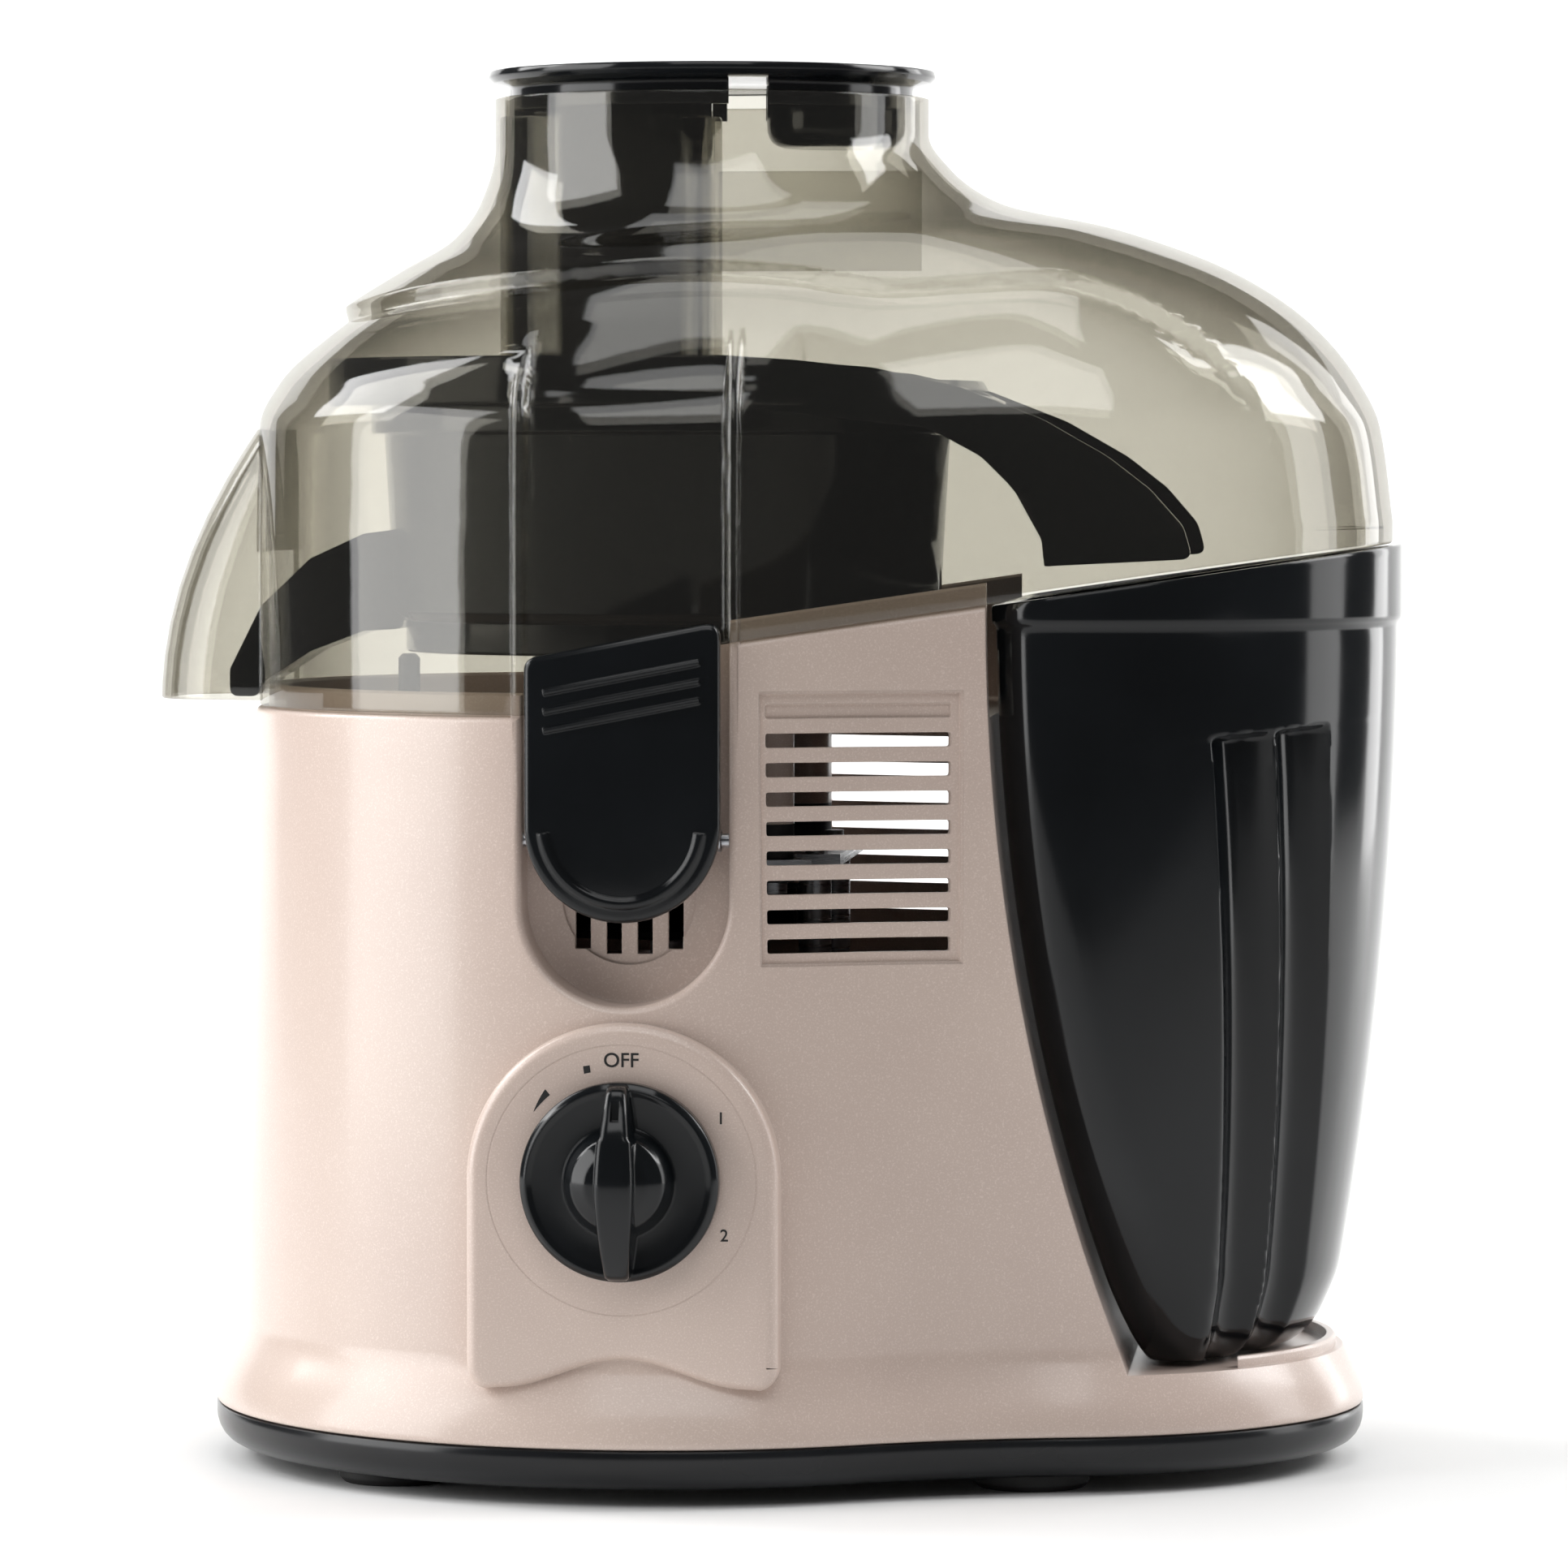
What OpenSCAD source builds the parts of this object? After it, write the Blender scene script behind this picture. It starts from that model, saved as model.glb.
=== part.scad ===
// Centrifugal juicer: motor housing with a lobe for the pulp container, juice collector,
// sieve basket, lid with feed tube, pusher and two rocker latches.
// X points to the container, Y to the back and Z up. Shapes are drawn round the drive axis
// and moved at the end, so that the origin is under the middle of the whole object.

/* [Body] */
// Radius of the housing wall just above the skirt
wall_r = 93.8; // [92:0.2:95]
// How much the wall radius shrinks up to the deck
wall_draft = 2.8; // [2:0.1:3.4]
// Wall thickness of the housing
wall = 2.4; // [2:0.1:2.8]
// Height of the line between the bottom pan and the housing
parting_z = 12.5; // [11:0.5:14]
// Height where the skirt runs into the wall
skirt_top = 29; // [28:0.5:30]
// How far the skirt stands out at the parting line
skirt_flare = 6.5; // [5:0.5:7]
// Height of the housing's level top edge
edge_z = 166; // [165:0.5:167]
// Radius of the concave waist between the two round ends
waist_r = 150; // [130:5:170]

/* [Container] */
// Height of the slanted joint line above the drive axis
joint_z = 178.3; // [177:0.1:179]
// Rise of the joint line towards the container
joint_slope = 0.145; // [0.14:0.001:0.15]
// Radius of the container's round end at its rim
lobe_r = 70; // [69:0.5:71]
// Right end of the container at its rim
lobe_end = 161.5; // [161:0.5:162]
// Height of the floor that the container stands on
floor_z = 25; // [24:0.5:25]

/* [Lid and pusher] */
// Outer radius of the lid's neck
neck_r = 47.9; // [47.5:0.1:48.5]
// Middle of the neck, to the right of the drive axis
neck_x = 10; // [9:0.5:11]
// Height of the neck's rim
neck_z = 300; // [299:0.5:301]
// Inner radius of the feed tube
tube_r = 23; // [22.5:0.1:23.5]
// Radius of the pusher's flange
flange_r = 49.5; // [49:0.1:50]
// Overall height
top_z = 306; // [305:0.5:307]

/* [Controls] */
// Diameter of the dial knob
knob_d = 42; // [40:0.5:44]
// Height of the dial's middle
knob_z = 69; // [68:0.5:70]
// How far the dial panel's face lies in front of the drive axis
panel_y = 96; // [95.5:0.5:97]
// How far the knob's grip stands in front of the panel
knob_reach = 17; // [15:0.5:18]
// Width of a latch plate
latch_w = 41.4; // [40:0.2:42]

/* [Drive] */
// Radius of the motor shaft
shaft_r = 4; // [3.5:0.1:4.2]
// Radial clearance of the shaft in its bearings
shaft_gap = 0.05; // [0.03:0.01:0.08]

/* [Hidden] */
foot_names = ["foot_front_left", "foot_front_right", "foot_rear_left", "foot_rear_right"];

$fn = 64;
eps = 0.01;
gap = 0.4;                 // between the lid and what it rests over
big = 400;                 // larger than the whole object

// Colours
champagne = [0.87, 0.79, 0.75];
black = [0.08, 0.09, 0.10];
smoke = [0.62, 0.60, 0.55, 0.5];
steel = [0.75, 0.76, 0.78];
copper = [0.72, 0.40, 0.20];
brass = [0.78, 0.65, 0.35];
rubber = [0.12, 0.12, 0.12];

// The container's end draws in towards the floor
lobe_top_z = 190;
lobe_low_z = 36;
lobe_r_drop = 4.5;
lobe_end_drop = 13.5;

// The cut between the housing and the container curves out towards the floor
cut_top_x = 75;
cut_run = 30;
cut_power = 2.1;

// Housing details
deck_z = 165.6;
deck_t = 2.2;
deck_corner = 2;
upstand_h = 5;
upstand_in = 2.8;
recess_r = 21.9;
recess_z = 127;
recess_y = 80;
panel_r = 33;
panel_low_z = 24.5;
panel_hill = 6;
vent_turn = 31.8;
vent_w = 42.5;
vent_depth = 1.2;
vent_inner_r = 85;
vent_low_z = 114;
vent_high_z = 171;
vent_slot_h = 3;
vent_pitch = 6.2;
vent_slots = 9;
pin_z = 140;
pin_y = 84;
pin_r = 1.5;
gland_x = -20;
gland_z = 40;
gland_bore_r = 3.6;
interlock_at = [-64.5, 48];

// Motor and basket
stack_low = 68;
stack_high = 103;
stack_w = 84;
stack_d = 66;
armature_r = 24.4;
commutator_r = 12;
commutator_z = 46;
bolt_x = 35;
bolt_y = 26;
post_x = 27;
post_y = 50;
post_r = 5.5;
bracket_z = 132;
bracket_low_z = 34;
collector_foot_z = deck_z + gap;
chimney_r = 20;
coupling_r = 9;
coupling_z = deck_z + 1.4;
coupling_h = 26;
hub_z = 203;
disc_z = 205;
disc_r = 34;
basket_r = 70;
basket_z = 233;

feet_at = [[-53, -57], [84, -54], [-53, 57], [84, 54]];
foot_r = 12.5;
screws_at = [[-50, -71], [118, -36], [-50, 71], [118, 36]];
screw_r = 2;

// Whole-object box, used only to put the origin under its middle
shroud_x = -112.4;
front_y = -(panel_y + knob_reach);
back_y = wall_r + skirt_flare;
origin_shift = [-(shroud_x + lobe_end + 1) / 2, -(front_y + back_y) / 2, 0];

// ---- Plan outline -------------------------------------------------------------------

round_steps = 30;
waist_steps = 5;
lobe_steps = 18;

// Points counter-clockwise: big circle, front waist, lobe, back waist
function outline(r, end_r, end_x, fillet) =
  let (
    fx = (end_x * end_x + pow(r + fillet, 2) - pow(end_r + fillet, 2)) / (2 * end_x),
    fy = sqrt(pow(r + fillet, 2) - fx * fx),
    a = atan2(fy, fx),
    b = atan2(fy, fx - end_x)
  )
  concat(
    [for (i = [0:round_steps]) let (t = a + (360 - 2 * a) * i / round_steps)
      [r * cos(t), r * sin(t)]],
    [for (i = [1:waist_steps - 1]) let (t = 180 - a - (b - a) * i / waist_steps)
      [fx + fillet * cos(t), -fy + fillet * sin(t)]],
    [for (i = [0:lobe_steps]) let (t = -b + 2 * b * i / lobe_steps)
      [end_x + end_r * cos(t), end_r * sin(t)]],
    [for (i = [1:waist_steps - 1]) let (t = 180 + b - (b - a) * i / waist_steps)
      [fx + fillet * cos(t), fy + fillet * sin(t)]]
  );

function drawn_in(z) = pow(min(1, (lobe_top_z - z) / (lobe_top_z - lobe_low_z)), 2);
function big_r(z) = wall_r - wall_draft * max(0, z - skirt_top) / (edge_z - skirt_top);
function end_r(z) = lobe_r - lobe_r_drop * drawn_in(z);
function end_x(z) = lobe_end - lobe_end_drop * drawn_in(z) - end_r(z);
function flare(z) = z >= skirt_top ? 0
  : skirt_flare * pow(sin(90 * (skirt_top - z) / (skirt_top - parting_z)), 1.2);
function plan(grow, z) = outline(big_r(z) + grow, end_r(z) + grow, end_x(z), waist_r - grow);
function ring(grow, z) = [for (p = plan(grow, z)) [p[0], p[1], z]];
function joint(x) = joint_z + joint_slope * x;
function cut_x(z) = cut_top_x
  + cut_run * pow(max(0, lobe_top_z - z) / (lobe_top_z - floor_z), cut_power);

// A closed skin over a list of rings, capped at both ends
module loft(rings) {
  n = len(rings[0]);
  m = len(rings);
  polyhedron(
    points = [for (r = rings) each r],
    faces = concat(
      [[for (i = [0:n - 1]) i]],
      [for (k = [0:m - 2]) for (i = [0:n - 1]) let (j = (i + 1) % n)
        each [[k * n + i, (k + 1) * n + i, (k + 1) * n + j], [k * n + i, (k + 1) * n + j, k * n + j]]],
      [[for (i = [n - 1:-1:0]) (m - 1) * n + i]]
    )
  );
}

// A polygon in X and Z, drawn out along Y
module side_profile(points, depth = big) {
  rotate([90, 0, 0]) linear_extrude(height = depth, center = true) polygon(points);
}

// Everything under the edge that the lid and housing share, lifted by h
module under_edge(h) {
  side_profile([
    [-big, -big], [big, -big], [big, joint(big) + h], [0, joint(0) + h],
    [0, edge_z + h], [-big, edge_z + h]
  ]);
}

module both_sides() {
  children();
  mirror([0, 1, 0]) children();
}

// ---- Housing ------------------------------------------------------------------------

wall_rings = [100, 145, deck_z - deck_t, 195];
skirt_rings = concat([parting_z, 15, 18, 21, 24, 26.5, skirt_top, 60], wall_rings);

// The space to the right of the cut, moved by grow
module container_bay(grow) {
  cut = [for (z = [floor_z:15:lobe_top_z - 1]) [cut_x(z) - grow, z]];
  side_profile(concat(
    [[big, floor_z - grow], [cut_x(floor_z) - grow, floor_z - grow]],
    [for (p = cut) if (p[1] > floor_z) p],
    [[cut_top_x - grow, lobe_top_z + 30], [big, lobe_top_z + 30]]
  ));
}

// U-shaped block behind a latch
module latch_block(r, depth_y) {
  translate([0, -depth_y, 0]) rotate([90, 0, 0]) linear_extrude(height = 40) {
    translate([0, recess_z]) circle(r = r);
    translate([-r, recess_z]) square([2 * r, 80]);
  }
}

// Round-topped dial panel
module panel(r, low, y0, y1) {
  translate([0, -y0, 0]) rotate([90, 0, 0]) linear_extrude(height = y1 - y0) {
    translate([0, knob_z]) circle(r = r);
    polygon([
      [-r, knob_z], [-r, low + 3], [-r + 3, low], [0, low + panel_hill], [r - 3, low], [r, low + 3],
      [r, knob_z]
    ]);
  }
}

// A block that faces outward at the vent, from an inner radius
module vent_block(w, inner_r, z, h) {
  rotate([0, 0, vent_turn]) translate([-w / 2, -130, z]) cube([w, 130 - inner_r, h]);
}

// Shallow recess that follows the wall, with louvre slots; the top slot, above the deck, is blind
module vent_cut() {
  difference() {
    vent_block(vent_w, vent_inner_r, vent_low_z, vent_high_z - vent_low_z);
    loft([for (z = wall_rings) ring(-vent_depth, z)]);
  }
  for (i = [0:vent_slots - 2])
    vent_block(vent_w - 3, vent_inner_r, vent_low_z + 2.2 + i * vent_pitch, vent_slot_h);
  difference() {
    vent_block(vent_w - 3, vent_inner_r, vent_low_z + 2.2 + (vent_slots - 1) * vent_pitch, vent_slot_h);
    loft([for (z = wall_rings) ring(-vent_depth - 0.6, z)]);
  }
}

module housing() {
  color(champagne) {
    difference() {
      union() {
        intersection() {
          loft([for (z = skirt_rings) ring(flare(z), z)]);
          under_edge(0);
        }
        intersection() {
          loft([for (z = [150, 195]) ring(-upstand_in, z)]);
          under_edge(upstand_h);
        }
        panel(panel_r, panel_low_z, 60, panel_y - 2);
        panel(panel_r - 1.5, panel_low_z + 1.5, 60, panel_y);
      }
      // motor bay
      difference() {
        union() {
          loft(concat(
            [for (z = [10, 16, 21, skirt_top, 60, 100, 145, deck_z - deck_t - deck_corner])
              ring(flare(z) * 0.8 - wall, z)],
            [ring(-wall - deck_corner, deck_z - deck_t)]
          ));
          panel(panel_r - wall, panel_low_z + wall, 50, panel_y - wall);
        }
        container_bay(wall);
        both_sides() latch_block(recess_r + wall, recess_y - wall);
      }
      // above the deck
      difference() {
        loft([for (z = [deck_z, 200]) ring(-upstand_in - wall, z)]);
        both_sides() latch_block(recess_r + wall, recess_y - wall);
        container_bay(wall);
      }
      container_bay(0);
      both_sides() {
        latch_block(recess_r, recess_y);
        vent_cut();
        // pin holes
        translate([-recess_r - 1.6, -pin_y, pin_z]) rotate([0, 90, 0])
          cylinder(h = 2 * recess_r + 3.2, r = pin_r + 0.02);
        // barred window behind the latch tip
        for (i = [-1.5:1:1.5])
          translate([i * 6.6 - 1.6, -recess_y - 5, 115.5]) cube([3.2, 10, 12.5]);
      }
      // switch bushing, shaft, cord and interlock holes
      translate([0, -panel_y - 5, knob_z]) rotate([-90, 0, 0]) cylinder(h = 20, r = 5.1);
      translate([0, 0, 150]) cylinder(h = 20, r = 13);
      translate([gland_x, 60, gland_z]) rotate([-90, 0, 0]) cylinder(h = 60, r = 7.02);
      translate([interlock_at[0], interlock_at[1], 150]) cylinder(h = 20, r = 2.56);
      for (p = screws_at)
        translate([p[0], p[1], 0]) cylinder(h = 22, r = screw_r + 0.02);
    }
    // screw posts, joined to the skirt on the left and to the floor on the right
    for (p = screws_at) difference() {
      translate([p[0], p[1], parting_z + 1]) cylinder(h = p[0] > 0 ? 10.5 : 30, r = 5);
      translate([p[0], p[1], 0]) cylinder(h = 22, r = screw_r + 0.02);
    }
    // motor posts under the deck
    for (x = [-1, 1]) for (y = [-1, 1]) difference() {
      translate([x * post_x, y * post_y, 142]) cylinder(h = deck_z - deck_t - 141.5, r = post_r);
      translate([x * post_x, y * post_y, 140]) cylinder(h = 16, r = screw_r + 0.02);
    }
    // lip round the right end of the container floor
    intersection() {
      difference() {
        loft([for (z = [floor_z - 1, floor_z + 2.4]) ring(0.4, z)]);
        loft([for (z = [floor_z - 5, floor_z + 6]) ring(-1.6, z)]);
      }
      translate([128, -60, floor_z - 1]) cube([60, 120, 10]);
    }
  }
}

// ---- Bottom pan, feet and screws ----------------------------------------------------

module base_pan() {
  top = parting_z - 0.2;
  color(black) difference() {
    union() {
      difference() {
        loft([
          ring(skirt_flare - 6.5, 3.5), ring(skirt_flare - 3, 4.4), ring(skirt_flare - 1, 6.5),
          ring(skirt_flare, 9.5), ring(skirt_flare, top)
        ]);
        loft([ring(skirt_flare - 7.5, 6), ring(skirt_flare - 2.6, 9), ring(skirt_flare - 2.4, 20)]);
      }
      for (p = screws_at) translate([p[0], p[1], 4]) cylinder(h = parting_z - 4 + 0.8, r = 5);
    }
    // cooling slots under the motor
    for (i = [-4:4]) translate([i * 8 - 1.6, -24, 0]) cube([3.2, 48, 10]);
    for (p = screws_at) {
      translate([p[0], p[1], 0]) cylinder(h = 20, r = screw_r + 0.1);
      translate([p[0], p[1], 0]) cylinder(h = 7, r = 3.9);
    }
    for (p = feet_at) translate([p[0], p[1], 0]) cylinder(h = 20, r = 3.02);
  }
}

// Round rubber foot with a plug that goes through the pan
module foot(p) {
  color(rubber) translate([p[0], p[1], 0]) {
    cylinder(h = 1, r1 = foot_r - 1, r2 = foot_r);
    translate([0, 0, 1]) cylinder(h = 2.5, r = foot_r);
    translate([0, 0, 3.5]) cylinder(h = 3, r = 3);
    translate([0, 0, 6.05]) cylinder(h = 1.5, r1 = 4, r2 = 3);
  }
}

module base_screws() {
  color(steel) for (p = screws_at) translate([p[0], p[1], 4.6]) {
    difference() {
      cylinder(h = 2.4, r = 3.7);
      translate([0, 0, -1]) cylinder(h = 2.4, r = 1.6, $fn = 6);
    }
    translate([0, 0, 2.4]) cylinder(h = 12, r = screw_r);
  }
}

module cord_gland() {
  face = wall_r - 2;
  color(black) translate([gland_x, 0, gland_z]) rotate([-90, 0, 0]) difference() {
    union() {
      translate([0, 0, face - 8]) cylinder(h = 13, r = 7);
      translate([0, 0, face + 1.6]) cylinder(h = 3, r = 9);
      translate([0, 0, face - 9]) cylinder(h = 3, r = 9);
    }
    translate([0, 0, face - 20]) cylinder(h = 40, r = gland_bore_r);
  }
}

// ---- Pulp container -----------------------------------------------------------------

bay_gap = 1.5;
corner_r = 12;
bin_wall = 2.2;
arc_steps = 22;
corner_steps = 5;
grip_low = 28;
grip_high = 162;
// Angle of each finger channel round the end, at its foot and at its top
grip_angles = [[45, 57], [32.5, 43.5]];

// D-shaped ring: a round right end and a flat left wall with rounded corners
function bin_ring(grow, z, slanted = false) =
  let (
    left = cut_x(z) + bay_gap - grow,
    r = end_r(z) + grow,
    cx = end_x(z),
    q = corner_r + grow,
    qx = left + q,
    qy = sqrt(pow(r - q, 2) - pow(qx - cx, 2)),
    c = atan2(qy, qx - cx),
    points = concat(
      [for (i = [0:arc_steps]) let (t = -c + 2 * c * i / arc_steps) [cx + r * cos(t), r * sin(t)]],
      [for (i = [1:corner_steps]) let (t = c + (180 - c) * i / corner_steps)
        [qx + q * cos(t), qy + q * sin(t)]],
      [for (i = [0:corner_steps - 1]) let (t = 180 + (180 - c) * i / corner_steps)
        [qx + q * cos(t), -qy + q * sin(t)]]
    )
  )
  [for (p = points) [p[0], p[1], slanted ? joint(p[0]) : z]];

// Where a finger channel's axis passes height z, out of the wall
function grip_axis(a, z, out) = [end_x(z) + (end_r(z) + out) * cos(a), (end_r(z) + out) * sin(a)];

// Ring near the foot, drawn in by grow at the round end and by a quarter of it at the flat wall
function bin_foot(grow, z) =
  let (
    wide = bin_ring(0, z),
    small = bin_ring(grow, z)
  )
  [for (i = [0:len(wide) - 1])
    let (share = 0.25 + 0.75 * min(1, max(0, (wide[i][0] - 106) / 34)))
    wide[i] * (1 - share) + small[i] * share];

// Two finger channels side by side on the round end, which lean with the wall
module grip_cut(extra) {
  h = grip_high - grip_low;
  for (a = grip_angles) for (s = [-1, 1]) mirror([0, s < 0 ? 1 : 0, 0]) {
    low = grip_axis(a[0], grip_low, 5);
    lean = (grip_axis(a[1], grip_high, 2.6) - low) / h;
    translate([low[0], low[1], grip_low]) rotate([-atan(lean[1]), atan(lean[0]), 0])
      translate([0, 0, -extra]) cylinder(h = h + 2 * extra, r = 8 + extra);
  }
}

module pulp_container() {
  rim_z = 186;
  color(black) difference() {
    loft([
      bin_foot(-11, 26), bin_foot(-9, 27), bin_foot(-5, 29.5), bin_foot(-1.8, 34),
      bin_ring(0, 42), bin_ring(0, 75), bin_ring(0, 110), bin_ring(0, 150),
      bin_ring(0, rim_z - 1), bin_ring(1, rim_z), bin_ring(1, lobe_top_z, true)
    ]);
    difference() {
      loft([
        bin_ring(-11, 28.4), bin_ring(-7, 31), bin_ring(-4, 36), bin_ring(-bin_wall, 44),
        bin_ring(-bin_wall, 75), bin_ring(-bin_wall, 110), bin_ring(-bin_wall, 150),
        bin_ring(-bin_wall, rim_z), bin_ring(-1.6, 215)
      ]);
      grip_cut(bin_wall);
    }
    grip_cut(0);
  }
}

// ---- Lid ------------------------------------------------------------------------------

lid_r = 91;
lid_lobe_r = 70;
lid_lobe_x = 90.4;
lid_wall = 2;
base_plan = outline(lid_r, lid_lobe_r, lid_lobe_x, waist_r);
base_left = -lid_r;
base_right = lid_lobe_x + lid_lobe_r;

// Each level: left end, right end, half width, height at each end, and roundness from the
// figure-of-eight plan (0) to the neck's circle (1)
lid_levels = [
  [-91, 160.4, 91, 150, 150, 0],
  [-91, 160.4, 91, 205, 207, 0],
  [-90, 157, 90, 228, 228, 0.02],
  [-86, 152.5, 86, 235, 237, 0.06],
  [-78, 143, 79, 245, 249, 0.15],
  [-69, 127, 71, 254, 260.5, 0.3],
  [-58, 100, 62, 261.5, 270.5, 0.55],
  [-47, 74, 53.5, 267.5, 276, 0.8],
  [-41, 63, 50, 277, 284, 0.95],
  [neck_x - neck_r, neck_x + neck_r, neck_r, 288, 291, 1],
  [neck_x - neck_r, neck_x + neck_r, neck_r, neck_z, neck_z, 1]
];

function lid_ring(level, t, drop) =
  [for (p = base_plan)
    let (
      u = (p[0] - base_left) / (base_right - base_left),
      side = p[1] < 0 ? -1 : 1,
      disc = side * sqrt(max(0, 1 - pow(2 * u - 1, 2))),
      y = (1 - level[5]) * p[1] / lid_r + level[5] * disc
    )
    [level[0] + t + u * (level[1] - level[0] - 2 * t), (level[2] - t) * y,
     level[3] + u * (level[4] - level[3]) - drop]];

module lid_solid(t, drop) {
  last = len(lid_levels) - 1;
  loft([for (i = [0:last]) lid_ring(lid_levels[i], t, i == last ? -drop : drop)]);
}

// Hood over the juice spout: rounded in plan and curving in at the top
function shroud_ring(z, grow) =
  let (
    lean = pow(max(0, z - edge_z) / 62, 2) * 23,
    a = 38 - lean + grow,
    b = 27 + grow
  )
  [for (i = [0:27]) let (t = 360 * i / 28, c = cos(t), s = sin(t))
    [-74.4 + a * sign(c) * pow(abs(c), 0.6), b * sign(s) * pow(abs(s), 0.6), z]];

module shroud(grow, low, high) {
  loft([for (z = [low, edge_z + 20, edge_z + 36, edge_z + 50, high]) shroud_ring(z, grow)]);
}

tube_x = -12.5;
tube_low = 216;
tube_wall = 1.6;
rib_x = 22;
rib_r = 2.2;

module lid() {
  color(smoke) {
    difference() {
      union() {
        lid_solid(0, 0);
        for (x = [-rib_x, rib_x]) both_sides()
          translate([x, -sqrt(lid_r * lid_r - x * x) + 0.6, 150]) cylinder(h = 78, r = rib_r);
      }
      lid_solid(lid_wall, 1.8);
      difference() {
        shroud(-lid_wall, edge_z - 20, edge_z + 58);
        translate([-84, -60, 206]) cube([200, 120, 60]);
      }
      under_edge(gap);
      translate([tube_x, 0, 200]) cylinder(h = 120, r = tube_r + tube_wall);
      // the latch plates stand in front of the wall
      both_sides() translate([-latch_w / 2 - 1, -96, 140]) cube([latch_w + 2, 4.6, 48]);
    }
    // tab over the interlock pin
    rotate([0, 0, atan2(interlock_at[1], interlock_at[0])])
      translate([77, -4, pin_top_z + gap]) cube([13, 8, 2.5]);
  }
}

// The part of the hood that stands out of the lid's wall
module spout_hood() {
  color(smoke) difference() {
    shroud(0, edge_z + 1.5, edge_z + 61);
    shroud(-lid_wall, edge_z - 20, edge_z + 58);
    lid_solid(0, 0);
  }
}

module feed_tube() {
  color(smoke) difference() {
    union() {
      translate([tube_x, 0, tube_low]) cylinder(h = neck_z - 4 - tube_low, r = tube_r + tube_wall);
      translate([tube_x, -1, 262]) cube([neck_x + neck_r - 5 - tube_x, 2, 22]);
    }
    translate([tube_x, 0, 200]) cylinder(h = 120, r = tube_r);
  }
}

// Plunger that fills the feed tube, a hollow cup open at the top
module plunger() {
  outer = tube_r - 0.5;
  color(black) difference() {
    translate([tube_x, 0, tube_low + 6]) cylinder(h = top_z - 3 - tube_low - 6, r = outer);
    translate([tube_x, 0, tube_low + 8.5]) cylinder(h = 120, r = outer - 2);
  }
}

module pusher() {
  skirt_r = neck_r - lid_wall - 1.5;
  plunger_r = tube_r - 0.5;
  color(black) {
    difference() {
      translate([neck_x, 0, 0]) rotate_extrude() polygon([
        [0, top_z - 3], [skirt_r - 2, top_z - 3], [skirt_r - 2, neck_z - 3], [skirt_r, neck_z - 3],
        [skirt_r, top_z - 3.4], [flange_r - 1, top_z - 2.6], [flange_r, top_z - 1.4],
        [flange_r - 0.4, top_z - 0.3], [flange_r - 1.4, top_z], [flange_r - 3, top_z - 1],
        [0, top_z - 1]
      ]);
      translate([tube_x, 0, top_z - 12]) cylinder(h = 20, r = plunger_r - 2);
      // the plunger closes this side of the skirt
      translate([tube_x, 0, neck_z - 10]) cylinder(h = top_z - neck_z + 7, r = plunger_r);
    }
    // locating cup beside the tube
    difference() {
      translate([neck_x + 28, 0, neck_z - 11]) cylinder(h = 14.5, r = 12);
      translate([neck_x + 28, 0, neck_z - 9]) cylinder(h = 11, r = 10);
    }
  }
}

// ---- Juice collector ------------------------------------------------------------------

fence_in = 15;

module juice_collector() {
  color(black) {
    difference() {
      union() {
        rotate_extrude() polygon([
          [18, collector_foot_z], [20, collector_foot_z], [20, 178.8], [28, 178.8],
          [28, collector_foot_z], [30, collector_foot_z], [30, 178], [58, 178], [58, 185],
          [60.5, 187], [62.7, 226], [65.6, 226], [65.6, 232], [75, 232], [75, 242.5],
          [73, 242.5], [73, 234], [63.6, 234], [63.6, 228], [60.6, 228], [58.4, 189],
          [56, 187], [56, 181], [chimney_r, 181], [chimney_r, 200], [18, 200]
        ]);
        // spout trough
        difference() {
          side_profile([
            [-58, 205], [-66, 204], [-78, 198.5], [-89, 188], [-96, 174], [-96, 168],
            [-90, 168], [-88, 171.5], [-78, 178], [-66, 182.5], [-57, 183]
          ], 28);
          side_profile([
            [-50, 203], [-66, 202], [-77, 196.7], [-87.4, 186.9], [-94, 173.5], [-94, 160],
            [-91.5, 168], [-89.3, 172.7], [-78.6, 180], [-66, 184.5], [-50, 185]
          ], 24);
          cylinder(h = 400, r = 59);
        }
      }
      side_profile([[-64, 186.5], [-50, 186.5], [-50, 202.5], [-64, 201]], 24);
    }
    // fence that leads the pulp to the container
    intersection() {
      difference() {
        loft([for (z = [190, 250]) ring(-fence_in, z)]);
        loft([for (z = [180, 260]) ring(-fence_in - 2, z)]);
        cylinder(h = 400, r = 74);
      }
      side_profile([
        [17, 242.5], [50, 240], [68, 236], [86, 229], [100, 221], [109, 214], [116, 206],
        [118, 199], [86.5, 197.5], [86, 203], [82, 212], [73, 221], [62, 227], [17, 232]
      ]);
    }
    // sloping floor between the bowl and the container's mouth
    intersection() {
      loft([for (z = [190, 250]) ring(-fence_in - 1, z)]);
      difference() {
        side_profile([
          [60, 234], [72, 226], [82, 214.5], [88, 204], [88.5, 197.5], [86.5, 197.5],
          [86, 203], [80.4, 213.2], [71, 224.3], [60, 232]
        ]);
        cylinder(h = 400, r = 62);
      }
    }
  }
}

// ---- Sieve basket -----------------------------------------------------------------------

module basket_rim() {
  color(black) rotate_extrude() polygon([
    [57, basket_z + 1], [57.5, basket_z + 3], [basket_r, basket_z + 4.6], [basket_r + 1, basket_z + 3],
    [basket_r + 1, basket_z + 2.4], [60, basket_z + 1.6]
  ]);
}

module mesh_cone() {
  color(steel) rotate_extrude() polygon([
    [disc_r - 1, disc_z + 1.2], [disc_r, disc_z + 1.2], [58, basket_z + 0.95], [57, basket_z + 0.95]
  ]);
}

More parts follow.
